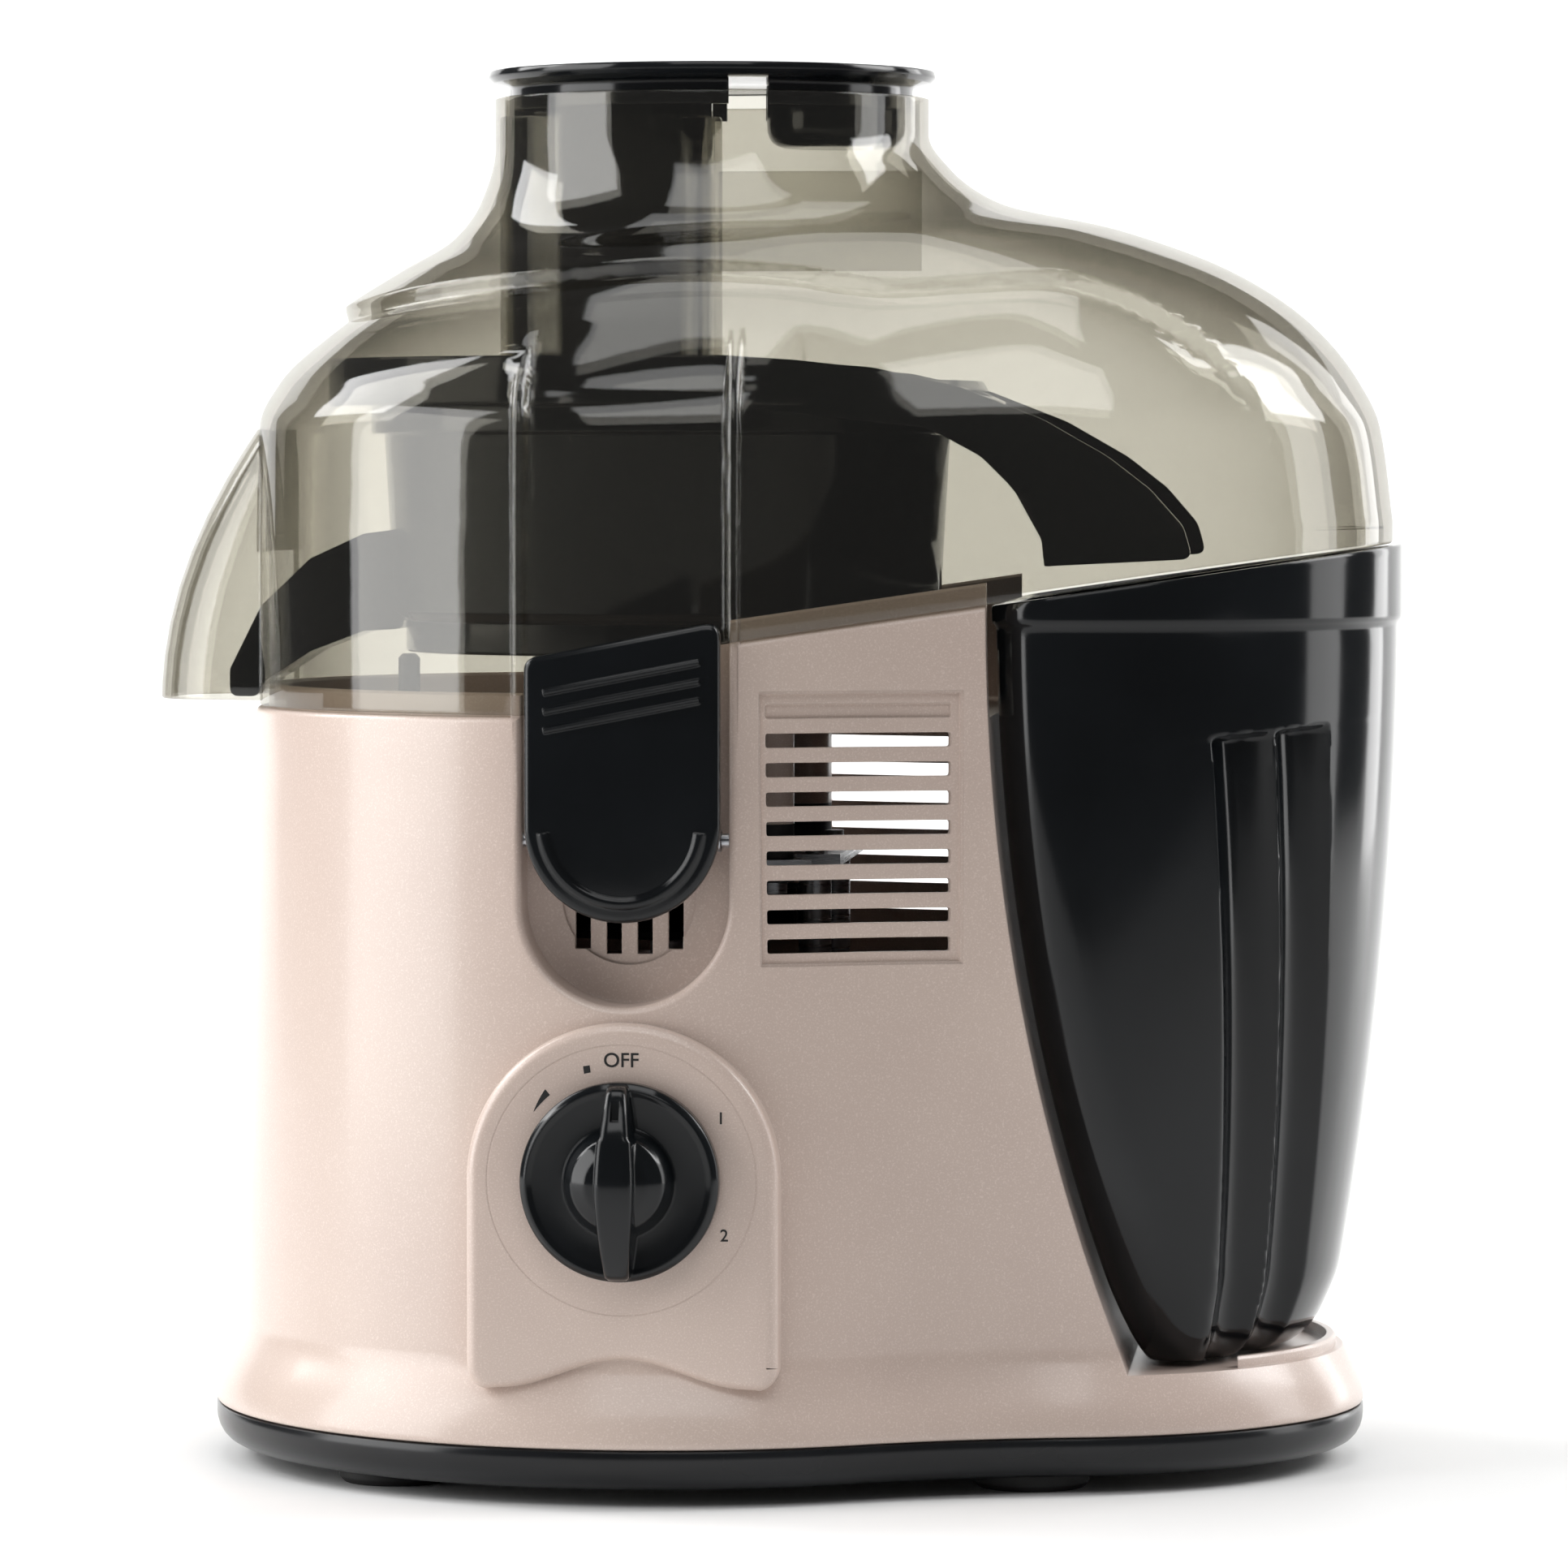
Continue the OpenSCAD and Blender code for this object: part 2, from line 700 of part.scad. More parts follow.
module grater_disc() {
  rings = 4;
  color(steel) {
    difference() {
      translate([0, 0, disc_z]) cylinder(h = 1.2, r = disc_r);
      translate([0, 0, disc_z - 1]) cylinder(h = 4, r = 4.1);
    }
    for (k = [1:rings]) for (i = [0:6 * k - 1])
      rotate([0, 0, 60 * i / k + 11 * k]) translate([7 + 6 * k, 0, disc_z + 1.2 - eps])
        linear_extrude(height = 1.2) polygon([[0, -0.8], [1.8, 0], [0, 0.8]]);
  }
}

module basket_hub() {
  color(black) difference() {
    union() {
      translate([0, 0, hub_z - 1.5]) cylinder(h = 3.5, r = disc_r - 0.5);
      translate([0, 0, 172]) cylinder(h = hub_z - 172, r = 15);
      translate([0, 0, hub_z]) cylinder(h = 4.6, r = 4);
    }
    // socket with grooves for the coupling's six dogs
    translate([0, 0, 150]) cylinder(h = 45, r = 7.4);
    for (i = [0:2]) rotate([0, 0, 60 * i]) translate([-9.6, -2, 150]) cube([19.2, 4, 45]);
  }
}

// ---- Rotor --------------------------------------------------------------------------------

module drive_coupling() {
  color(black) difference() {
    union() {
      translate([0, 0, coupling_z]) cylinder(h = coupling_h, r = 7);
      for (i = [0:2]) rotate([0, 0, 60 * i])
        translate([-coupling_r, -1.6, coupling_z]) cube([2 * coupling_r, 3.2, coupling_h]);
    }
    translate([0, 0, coupling_z - 1]) cylinder(h = 18, r = shaft_r + 0.02);
  }
}

module motor_shaft() {
  color(steel) {
    translate([0, 0, 26]) cylinder(h = coupling_z + 15 - 26, r = shaft_r);
    translate([0, 0, 25]) cylinder(h = 1, r1 = shaft_r - 1, r2 = shaft_r);
  }
}

module armature_core() {
  slots = 12;
  color(steel) difference() {
    translate([0, 0, stack_low]) cylinder(h = stack_high - stack_low, r = armature_r);
    translate([0, 0, stack_low - 1]) cylinder(h = 60, r = shaft_r + 0.02);
    for (i = [0:slots - 1]) rotate([0, 0, 360 * i / slots])
      translate([14, -1.2, stack_low - 1]) cube([20, 2.4, 60]);
  }
}

module armature_windings() {
  color(copper) for (z = [stack_low - 7.1, stack_high + 0.1])
    translate([0, 0, z]) difference() {
      cylinder(h = 7, r = 20);
      translate([0, 0, -1]) cylinder(h = 12, r = shaft_r + 1.5);
    }
}

module commutator() {
  bars = 16;
  color(copper) difference() {
    translate([0, 0, commutator_z]) cylinder(h = 13, r = commutator_r);
    translate([0, 0, commutator_z - 1]) cylinder(h = 20, r = shaft_r + 0.02);
    for (i = [0:bars - 1]) rotate([0, 0, 360 * i / bars])
      translate([commutator_r - 1, -0.25, commutator_z - 1]) cube([3, 0.5, 20]);
  }
}

module cooling_fan() {
  blades = 9;
  color(black) difference() {
    union() {
      translate([0, 0, 116]) cylinder(h = 1.6, r = 36);
      translate([0, 0, 114]) cylinder(h = 12, r = 8);
      for (i = [0:blades - 1]) rotate([0, 0, 360 * i / blades])
        translate([6, -0.8, 117]) rotate([0, 0, 15]) cube([28, 1.6, 9]);
    }
    translate([0, 0, 110]) cylinder(h = 20, r = shaft_r + 0.02);
  }
}

// ---- Fixed part of the motor ----------------------------------------------------------------

module at_corners(x, y) {
  for (i = [-1, 1]) for (j = [-1, 1]) translate([i * x, j * y, 0]) children();
}

module field_stack() {
  color(steel) difference() {
    translate([-stack_w / 2, -stack_d / 2, stack_low]) cube([stack_w, stack_d, stack_high - stack_low]);
    translate([0, 0, 50]) cylinder(h = 70, r = armature_r + 0.8);
    for (s = [-1, 1]) translate([-15, s * 27 - 4, 50]) cube([30, 8, 70]);
    at_corners(bolt_x, bolt_y) translate([0, 0, 50]) cylinder(h = 70, r = 2.2);
  }
}

// Racetrack coils that pass through the stack's windows
module field_coils() {
  color(copper) for (s = [-1, 1]) translate([0, s * 27, 0])
    for (z = [stack_low - 6, stack_high + 0.2])
      translate([-14.5, -3.6, z]) cube([29, 7.2, 5.8]);
  color(copper) for (s = [-1, 1]) for (x = [-14.5, 8.5])
    translate([x, s * 27 - 3.6, stack_low - 1]) cube([6, 7.2, stack_high - stack_low + 2]);
}

module bearing(z) {
  color(brass) difference() {
    translate([0, 0, z]) cylinder(h = 8, r = 9);
    translate([0, 0, z - 1]) cylinder(h = 10, r = shaft_r + shaft_gap);
  }
}

module bracket_upper() {
  color(steel) difference() {
    union() {
      translate([0, 0, bracket_z]) linear_extrude(height = 2.5) union() {
        square([2 * bolt_x + 12, 2 * bolt_y + 12], center = true);
        for (s = [-1, 1]) rotate([0, 0, s * atan2(post_y, post_x)])
          square([2 * norm([post_x, post_y]) + 14, 14], center = true);
      }
      translate([0, 0, bracket_z]) cylinder(h = 10, r = 12);
    }
    translate([0, 0, bracket_z - 1]) cylinder(h = 20, r = 9.02);
    at_corners(post_x, post_y) translate([0, 0, 120]) cylinder(h = 30, r = 2.6);
    at_corners(bolt_x, bolt_y) translate([0, 0, 120]) cylinder(h = 30, r = 2.2);
  }
}

module bracket_lower() {
  color(steel) difference() {
    union() {
      translate([-bolt_x - 6, -bolt_y - 6, bracket_low_z])
        cube([2 * bolt_x + 12, 2 * bolt_y + 12, 2.5]);
      translate([0, 0, bracket_low_z - 6]) cylinder(h = 8, r = 12);
      for (s = [-1, 1]) translate([-6, s * 22 - 4, bracket_low_z]) cube([12, 8, 12.9]);
    }
    translate([0, 0, bracket_low_z - 8]) cylinder(h = 20, r = 9.02);
    at_corners(bolt_x, bolt_y) translate([0, 0, 20]) cylinder(h = 30, r = 2.2);
  }
}

module brush_holders() {
  color(brass) for (s = [-1, 1]) difference() {
    translate([-4.5, s * 22 - 8, bracket_low_z + 13]) cube([9, 16, 9]);
    translate([-3.1, s * 22 - 20, bracket_low_z + 14.9]) cube([6.2, 40, 6.2]);
  }
}

module carbon_brushes() {
  face = commutator_r + 0.1;
  color(black) for (s = [0, 180]) rotate([0, 0, s])
    translate([-3, face, bracket_low_z + 15]) cube([6, 15, 6]);
}

// Four long bolts that clamp the brackets on the stack, each with a spacer tube
module motor_bolts() {
  color(steel) at_corners(bolt_x, bolt_y) {
    translate([0, 0, bracket_low_z - 3]) cylinder(h = 3, r = 3.5);
    translate([0, 0, bracket_low_z]) cylinder(h = bracket_z + 5 - bracket_low_z, r = 2.15);
    translate([0, 0, bracket_low_z + 2.6]) cylinder(h = stack_low - bracket_low_z - 2.7, r = 3.6);
    translate([0, 0, stack_high + 0.1]) cylinder(h = bracket_z - stack_high - 0.2, r = 3.6);
  }
}

module motor_mounts() {
  color(rubber) at_corners(post_x, post_y) difference() {
    union() {
      translate([0, 0, bracket_z + 2.5]) cylinder(h = 142 - bracket_z - 2.5, r = post_r);
      translate([0, 0, bracket_z - 2.5]) cylinder(h = 2.5, r = post_r);
      translate([0, 0, bracket_z - 1]) cylinder(h = 5, r = 2.58);
    }
    translate([0, 0, 120]) cylinder(h = 30, r = screw_r + 0.02);
  }
}

module mount_screws() {
  color(steel) at_corners(post_x, post_y) {
    translate([0, 0, bracket_z - 5]) cylinder(h = 2.5, r = 4);
    translate([0, 0, bracket_z - 2.5]) cylinder(h = 24, r = screw_r);
  }
}

module shaft_seal() {
  color(rubber) difference() {
    union() {
      translate([0, 0, deck_z - deck_t]) cylinder(h = deck_t, r = 12.9);
      translate([0, 0, deck_z - deck_t - 2]) cylinder(h = 2, r = 15);
    }
    translate([0, 0, 150]) cylinder(h = 20, r = shaft_r + 0.3);
  }
}

// ---- Latches ------------------------------------------------------------------------------

latch_y = 92;
latch_t = 3.4;
latch_round_z = 143.7;

module latch() {
  half = latch_w / 2;
  left_top = 178.5;
  right_top = 186.5;
  color(black) {
    translate([0, -latch_y, 0]) rotate([90, 0, 0]) linear_extrude(height = latch_t) {
      translate([0, latch_round_z]) circle(r = half);
      polygon([
        [-half, latch_round_z], [half, latch_round_z], [half, right_top - 2],
        [half - 3, right_top - 0.2], [-half + 3, left_top + 0.4], [-half, left_top - 2.4]
      ]);
    }
    // grip ribs along the slanted top edge
    for (i = [0:2]) translate([0, -latch_y - latch_t, 173 - i * 4 + 1]) rotate([0, -11, 0])
      rotate([0, 90, 0]) cylinder(h = 33, r = 0.6, center = true);
    // thumb ledge
    intersection() {
      translate([0, -latch_y - latch_t + 0.5, latch_round_z]) rotate([90, 0, 0]) difference() {
        cylinder(h = 2, r = 17);
        translate([0, 4, -1]) cylinder(h = 5, r = 15.5);
      }
      translate([-30, -100, 120]) cube([60, 20, 22]);
    }
    // hinge lugs
    difference() {
      for (x = [-13, 7]) {
        translate([x, -latch_y - 0.5, pin_z - 3.2]) cube([6, latch_y + 0.5 - pin_y, 6.4]);
        translate([x, -pin_y, pin_z]) rotate([0, 90, 0]) cylinder(h = 6, r = 3.2);
      }
      translate([-30, -pin_y, pin_z]) rotate([0, 90, 0]) cylinder(h = 60, r = pin_r + 0.06);
    }
  }
}

module latch_pin() {
  color(steel) translate([-recess_r - 1.5, -pin_y, pin_z]) rotate([0, 90, 0])
    cylinder(h = 2 * recess_r + 3, r = pin_r);
}

// Torsion springs on the pin, one each side of the lugs
module latch_spring() {
  coil_r = 2;
  wire_r = 0.45;
  color(steel) for (s = [-1, 1]) translate([s * 18, -pin_y, pin_z]) rotate([0, 90, 0])
    for (i = [-2:2]) translate([0, 0, i * 0.85])
      rotate_extrude($fn = 32) translate([coil_r, 0]) circle(r = wire_r, $fn = 16);
}

// ---- Dial and switch ------------------------------------------------------------------------

module knob() {
  color(black) translate([0, -panel_y, knob_z]) rotate([90, 0, 0]) difference() {
    union() {
      translate([0, 0, 0.6]) cylinder(h = 4.4, r = knob_d / 2);
      translate([0, 0, 5]) cylinder(h = 1, r1 = knob_d / 2, r2 = knob_d / 2 - 1);
      translate([0, 0, 6]) cylinder(h = 3, r1 = 11, r2 = 8);
      // arched grip bar
      intersection() {
        translate([-3.4, -knob_d / 2 + 0.6, 0.6]) cube([6.8, knob_d - 1.2, 30]);
        translate([-10, 0, knob_reach - 32]) rotate([0, 90, 0]) rotate([0, 0, 90])
          cylinder(h = 20, r = 32);
      }
    }
    translate([0, 0, -1]) cylinder(h = 10, r = 3.02);
  }
}

module switch_body() {
  color(black) translate([0, -panel_y, knob_z]) rotate([-90, 0, 0]) difference() {
    union() {
      translate([0, 0, -0.2]) cylinder(h = 8, r = 5);
      translate([-16, -16, wall + 0.2]) cube([32, 32, 17]);
    }
    translate([0, 0, -1]) cylinder(h = 16, r = 3.05);
  }
}

module switch_shaft() {
  color(steel) translate([0, -panel_y - 8.8, knob_z]) rotate([-90, 0, 0]) cylinder(h = 22, r = 3);
}

// ---- Lid interlock ----------------------------------------------------------------------------

pin_top_z = 176;

module interlock_pin() {
  color(black) translate([interlock_at[0], interlock_at[1], 0]) {
    translate([0, 0, 150]) cylinder(h = pin_top_z - 151, r = 2.5);
    translate([0, 0, pin_top_z - 1]) cylinder(h = 1, r1 = 2.5, r2 = 1.5);
    translate([0, 0, 151]) cylinder(h = 1.6, r = 4.5);
  }
}

module interlock_spring() {
  color(steel) translate([interlock_at[0], interlock_at[1], 0])
    for (i = [0:4]) translate([0, 0, 142.3 + i * 2])
      rotate_extrude($fn = 32) translate([3.3, 0]) circle(r = 0.4, $fn = 16);
}

module interlock_switch() {
  turn = atan2(interlock_at[1], interlock_at[0]);
  color(black) translate([interlock_at[0], interlock_at[1], 0]) rotate([0, 0, turn]) difference() {
    union() {
      translate([-5, -10, 126]) cube([10, 20, 15.6]);
      translate([-5, -10, 126]) cube([10, 3, deck_z - deck_t - 126]);
    }
    translate([0, 0, 135]) cylinder(h = 10, r = 1.2);
  }
}

// ---- Nodes ----------------------------------------------------------------------------------

module placed() {
  translate(origin_shift) children();
}

placed() housing();
placed() base_pan();
for (i = [0:3])
  placed() foot(feet_at[i]);
placed() base_screws();
placed() cord_gland();
placed() pulp_container();
placed() lid();
placed() feed_tube();
placed() spout_hood();
placed() pusher();
placed() plunger();
placed() juice_collector();
placed() basket_rim();
placed() mesh_cone();
placed() grater_disc();
placed() basket_hub();
placed() drive_coupling();
placed() motor_shaft();
placed() armature_core();
placed() armature_windings();
placed() commutator();
placed() cooling_fan();
placed() field_stack();
placed() field_coils();
placed() bracket_upper();
placed() bracket_lower();
placed() bearing(bracket_z + 1);  // bearing_upper
placed() bearing(bracket_low_z - 6);  // bearing_lower
placed() brush_holders();
placed() carbon_brushes();
placed() motor_bolts();
placed() motor_mounts();
placed() mount_screws();
placed() shaft_seal();
placed() latch();  // latch_front
placed() mirror([0, 1, 0]) latch();  // latch_rear
placed() latch_pin();  // latch_pin_front
placed() mirror([0, 1, 0]) latch_pin();  // latch_pin_rear
placed() latch_spring();  // latch_spring_front
placed() mirror([0, 1, 0]) latch_spring();  // latch_spring_rear
placed() knob();
placed() switch_body();
placed() switch_shaft();
placed() interlock_pin();
placed() interlock_spring();
placed() interlock_switch();
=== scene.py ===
"""Looks of the centrifugal juicer: fine meshes, procedural materials, studio light and camera.

Every piece is drawn in millimetres round the drive axis, X to the container, Y to the back
and Z up, and mesh_object() moves it to the row frame in metres.
"""
from math import acos, asin, atan2, cos, hypot, pi, radians, sin, sqrt, tan

import bmesh
import bpy
import numpy as np
from mathutils import Matrix, Vector


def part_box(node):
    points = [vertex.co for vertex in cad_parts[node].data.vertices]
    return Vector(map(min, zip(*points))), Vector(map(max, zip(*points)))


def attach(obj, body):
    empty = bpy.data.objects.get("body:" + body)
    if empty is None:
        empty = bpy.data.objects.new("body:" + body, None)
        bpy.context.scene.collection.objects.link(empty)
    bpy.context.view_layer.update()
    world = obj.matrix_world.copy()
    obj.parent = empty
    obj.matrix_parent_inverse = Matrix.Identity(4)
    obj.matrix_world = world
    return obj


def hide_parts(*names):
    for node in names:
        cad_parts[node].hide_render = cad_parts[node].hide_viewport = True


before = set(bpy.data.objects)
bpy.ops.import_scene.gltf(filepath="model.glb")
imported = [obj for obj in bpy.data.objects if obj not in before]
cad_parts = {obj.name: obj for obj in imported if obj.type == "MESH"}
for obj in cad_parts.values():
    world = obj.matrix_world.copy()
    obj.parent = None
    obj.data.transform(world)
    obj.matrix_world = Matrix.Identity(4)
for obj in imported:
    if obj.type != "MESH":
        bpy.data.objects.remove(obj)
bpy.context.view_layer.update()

MM = 0.001
shaft_low, shaft_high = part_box("motor_shaft")
AXIS = np.array([(shaft_low.x + shaft_high.x) / 2, (shaft_low.y + shaft_high.y) / 2, 0.0])

# ---- Dimensions, the same as the CAD part's ----

WALL_R, WALL_DRAFT, WALL = 93.8, 2.8, 2.4
PARTING_Z, SKIRT_TOP, SKIRT_FLARE = 12.5, 29.0, 6.5
EDGE_Z, WAIST_R = 166.0, 150.0
JOINT_Z, JOINT_SLOPE = 178.3, 0.145
LOBE_R, LOBE_END, FLOOR_Z = 70.0, 161.5, 25.0
LOBE_TOP_Z, LOBE_LOW_Z, LOBE_R_DROP, LOBE_END_DROP = 190.0, 36.0, 4.5, 13.5
CUT_TOP_X, CUT_RUN, CUT_POWER = 75.0, 30.0, 2.1
DECK_Z, DECK_T, UPSTAND_H, UPSTAND_IN = 165.6, 2.2, 5.0, 2.8
RECESS_R, RECESS_Z, RECESS_Y = 21.9, 127.0, 80.0
BAR_PITCH, BAR_HALF, BAR_LOW, BAR_TOP, CUP_R = 6.6, 1.6, 115.5, 128.0, 14.2
PANEL_Y, PANEL_R, PANEL_LOW, PANEL_HILL = 96.0, 33.0, 24.5, 6.0
KNOB_Z, KNOB_R, KNOB_REACH = 69.0, 21.0, 17.0
VENT_TURN, VENT_W, VENT_DEPTH = 31.8, 42.5, 1.2
VENT_LOW, VENT_HIGH, VENT_SLOT_H, VENT_PITCH, VENT_SLOTS = 114.0, 171.0, 3.0, 6.2, 9
NECK_X, NECK_R, NECK_Z, TOP_Z = 10.0, 47.9, 300.0, 306.0
TUBE_X, TUBE_R, TUBE_LOW = -12.5, 23.0, 216.0
LID_R, LID_LOBE_R, LID_LOBE_X, LID_WALL, GAP = 91.0, 70.0, 90.4, 2.0, 0.4
TUBE_WALL, RIB_X = 1.6, 22.6
HOOD_X, HOOD_A, HOOD_B, HOOD_LEAN = -74.4, 38.0, 27.0, 23.0
LATCH_Y, LATCH_T, LATCH_HALF, LATCH_ROUND_Z = 92.0, 3.4, 20.7, 143.7
PIN_Y, PIN_Z, PIN_R = 84.0, 140.0, 1.5
BAY_GAP, CORNER_R, BIN_WALL, FENCE_IN = 1.5, 12.0, 2.2, 15.0
GRIP_LOW, GRIP_HIGH = 28.0, 162.0
SCREWS_AT, SCREW_R = [(-50, -71), (118, -36), (-50, 71), (118, 36)], 2.02
POST_X, POST_Y, POST_R = 27.0, 50.0, 5.5
GLAND_X, GLAND_Z, INTERLOCK_AT = -20.0, 40.0, (-64.5, 48.0)


# ---- Mesh helpers ----


def add_object(name, data):
    """A new object in the scene that shows data."""
    obj = bpy.data.objects.new(name, data)
    bpy.context.scene.collection.objects.link(obj)
    return obj


def mesh_object(name, points, faces):
    """An object from points in millimetres round the drive axis."""
    mesh = bpy.data.meshes.new(name)
    placed = np.asarray(points, float).reshape(-1, 3) * MM + AXIS
    mesh.from_pydata(placed.tolist(), [], faces)
    mesh.validate()
    return add_object(name, mesh)


def clean(obj, distance=1e-6):
    """Merges doubled points, drops empty faces and turns the normals outward."""
    mesh = bmesh.new()
    mesh.from_mesh(obj.data)
    bmesh.ops.remove_doubles(mesh, verts=mesh.verts, dist=distance)
    bmesh.ops.dissolve_degenerate(mesh, edges=mesh.edges, dist=distance)
    bmesh.ops.recalc_face_normals(mesh, faces=mesh.faces)
    mesh.to_mesh(obj.data)
    mesh.free()
    return obj


def loft(name, rows, wrap=False):
    """A skin over closed rings of points, capped at both ends or wrapped end to end."""
    rows = np.asarray(rows, float)
    count, ring = rows.shape[0], rows.shape[1]
    faces = []
    for k in range(count if wrap else count - 1):
        a, b = k * ring, ((k + 1) % count) * ring
        for i in range(ring):
            j = (i + 1) % ring
            faces.append((a + i, a + j, b + j, b + i))
    if not wrap:
        faces.append(tuple(range(ring - 1, -1, -1)))
        faces.append(tuple((count - 1) * ring + i for i in range(ring)))
    return clean(mesh_object(name, rows, faces))


def rounded(points, radius, steps=4, closed=True):
    """A polygon whose corners are rounded; radius is one number or one for each corner."""
    points = [np.array(p, float) for p in points]
    count = len(points)
    radii = radius if hasattr(radius, "__len__") else [radius] * count
    result = []
    for i, p in enumerate(points):
        if not closed and i in (0, count - 1) or radii[i] <= 0:
            result.append(p)
            continue
        before, after = points[i - 1] - p, points[(i + 1) % count] - p
        len_b, len_a = np.linalg.norm(before), np.linalg.norm(after)
        before, after = before / len_b, after / len_a
        angle = acos(max(-1, min(1, float(before @ after))))
        if angle > pi - 0.05:
            result.append(p)
            continue
        cut = min(radii[i] / tan(angle / 2), 0.45 * len_b, 0.45 * len_a)
        start, end = p + before * cut, p + after * cut
        for k in range(steps + 1):
            t = k / steps
            result.append((1 - t) ** 2 * start + 2 * t * (1 - t) * p + t * t * end)
    return np.array(result)


def lathe(name, profile, x=0.0, y=0.0, steps=144):
    """A closed profile of (radius, height) points turned round the vertical line at x, y."""
    profile = np.asarray(profile, float)
    angles = np.linspace(0, 2 * pi, steps, endpoint=False)
    rows = [[(x + r * cos(t), y + r * sin(t), z) for t in angles] for r, z in profile]
    return loft(name, rows, wrap=True)


def arc(cx, cy, radius, angles):
    """Points of a circular arc."""
    return [(cx + radius * cos(t), cy + radius * sin(t)) for t in angles]


def inset(outline, distance):
    """A closed plan moved inward along its own normals."""
    outline = np.asarray(outline, float)
    ahead = np.roll(outline, -1, axis=0) - np.roll(outline, 1, axis=0)
    length = np.maximum(np.linalg.norm(ahead, axis=1), 1e-9)
    normal = np.stack([-ahead[:, 1], ahead[:, 0]], axis=1) / length[:, None]
    return outline + normal * distance


def front_plate(name, outline, levels):
    """A plate in X and Z whose outline is inset by each level's first number at its Y."""
    rows = []
    for distance, y in levels:
        rows.append([(x, y, z) for x, z in inset(outline, distance)])
    return loft(name, rows)


def edge_levels(back_y, face_y, radius, steps):
    """Levels of a plate with a rounded front edge; the front is towards -Y."""
    levels = [(0.0, back_y)]
    for k in range(steps + 1):
        t = pi / 2 * k / steps
        levels.append((radius * (1 - cos(t)), face_y + radius * (1 - sin(t))))
    return levels


def prism(name, outline, high_y, low_y=None):
    """A prism along Y over a polygon in X and Z, the same to both sides unless low_y is given."""
    ends = (-high_y if low_y is None else low_y, high_y)
    return loft(name, [[(x, y, z) for x, z in outline] for y in ends])


def block(name, low, high):
    """A plain box, used only to cut with or inside unions."""
    (x0, y0, z0), (x1, y1, z1) = low, high
    ring = [(x0, y0), (x1, y0), (x1, y1), (x0, y1)]
    return loft(name, [[(x, y, z) for x, y in ring] for z in (z0, z1)])


def rod(name, start, end, radius, steps=32):
    """A round bar between two points."""
    start, end = np.array(start, float), np.array(end, float)
    along = (end - start) / np.linalg.norm(end - start)
    side = np.cross(along, (0, 0, 1) if abs(along[2]) < 0.9 else (1, 0, 0))
    side /= np.linalg.norm(side)
    other = np.cross(along, side)
    angles = np.linspace(0, 2 * pi, steps, endpoint=False)
    ring = [side * cos(t) * radius + other * sin(t) * radius for t in angles]
    return loft(name, [[p + c for c in ring] for p in (start, end)])


def sweep(name, path, ring):
    """A closed section, in (side, up) numbers, carried along a path with capped ends."""
    path = np.asarray(path, float)
    rows = []
    for i, p in enumerate(path):
        along = path[min(i + 1, len(path) - 1)] - path[max(i - 1, 0)]
        along = along / np.linalg.norm(along)
        side = np.cross(along, (0, 1, 0))
        side /= np.linalg.norm(side)
        rows.append([p + side * a + np.array([0, -1, 0]) * b for a, b in ring])
    return loft(name, rows)


def boolean(obj, other, operation="DIFFERENCE"):
    """Cuts, joins or meets obj with other, and removes other."""
    modifier = obj.modifiers.new("boolean", "BOOLEAN")
    modifier.object = other
    modifier.operation = operation
    modifier.solver = "EXACT"
    graph = bpy.context.evaluated_depsgraph_get()
    mesh = bpy.data.meshes.new_from_object(obj.evaluated_get(graph))
    obj.modifiers.clear()
    old = obj.data
    obj.data = mesh
    bpy.data.meshes.remove(old)
    drop(other)
    return obj


def drop(obj):
    """Removes an object and its mesh."""
    mesh = obj.data
    bpy.data.objects.remove(obj)
    bpy.data.meshes.remove(mesh)


def join(name, pieces):
    """Pieces become one object, each with its own closed skin."""
    mesh = bmesh.new()
    for piece in pieces:
        mesh.from_mesh(piece.data)
    data = bpy.data.meshes.new(name)
    mesh.to_mesh(data)
    mesh.free()
    for piece in pieces:
        drop(piece)
    return add_object(name, data)


def mirrored(obj, name):
    """A copy on the other side of the drive axis, front to back."""
    data = obj.data.copy()
    data.name = name
    y0 = float(AXIS[1])
    data.transform(Matrix.Translation((0, 2 * y0, 0)) @ Matrix.Diagonal((1, -1, 1, 1)))
    data.flip_normals()
    return add_object(name, data)


def finish_piece(obj, body, material, nodes=(), angle=32):
    """Smooth shading with sharp edges, material, body, and the CAD nodes it stands for, which are hidden."""
    for face in obj.data.polygons:
        face.use_smooth = True
    obj.data.set_sharp_from_angle(angle=radians(angle))
    obj.data.materials.clear()
    for one in material if isinstance(material, list) else [material]:
        obj.data.materials.append(one)
    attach(obj, body)
    if nodes:
        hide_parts(*nodes)
    return obj


# ---- Plan outline ----


def figure_of_eight(r, end_r, end_x, fillet, angles, waist_steps, lobe_steps):
    """Plan of a big and a small circle with hollow waists, from the back of the big circle.

    angles turns the waist's end angle into the angles of the points on the big circle.
    """
    fx = (end_x**2 + (r + fillet) ** 2 - (end_r + fillet) ** 2) / (2 * end_x)
    fy = sqrt((r + fillet) ** 2 - fx**2)
    a, b = atan2(fy, fx), atan2(fy, fx - end_x)
    points = arc(0, 0, r, angles(a))
    points += arc(fx, -fy, fillet, np.linspace(pi - a, pi - b, waist_steps + 1)[1:-1])
    points += arc(end_x, 0, end_r, np.linspace(-b, b, lobe_steps + 1))
    points += arc(fx, fy, fillet, np.linspace(pi + b, pi + a, waist_steps + 1)[1:-1])
    return np.array(points)


def drawn_in(z):
    return min(1, (LOBE_TOP_Z - z) / (LOBE_TOP_Z - LOBE_LOW_Z)) ** 2


def big_r(z):
    return WALL_R - WALL_DRAFT * max(0, z - SKIRT_TOP) / (EDGE_Z - SKIRT_TOP)


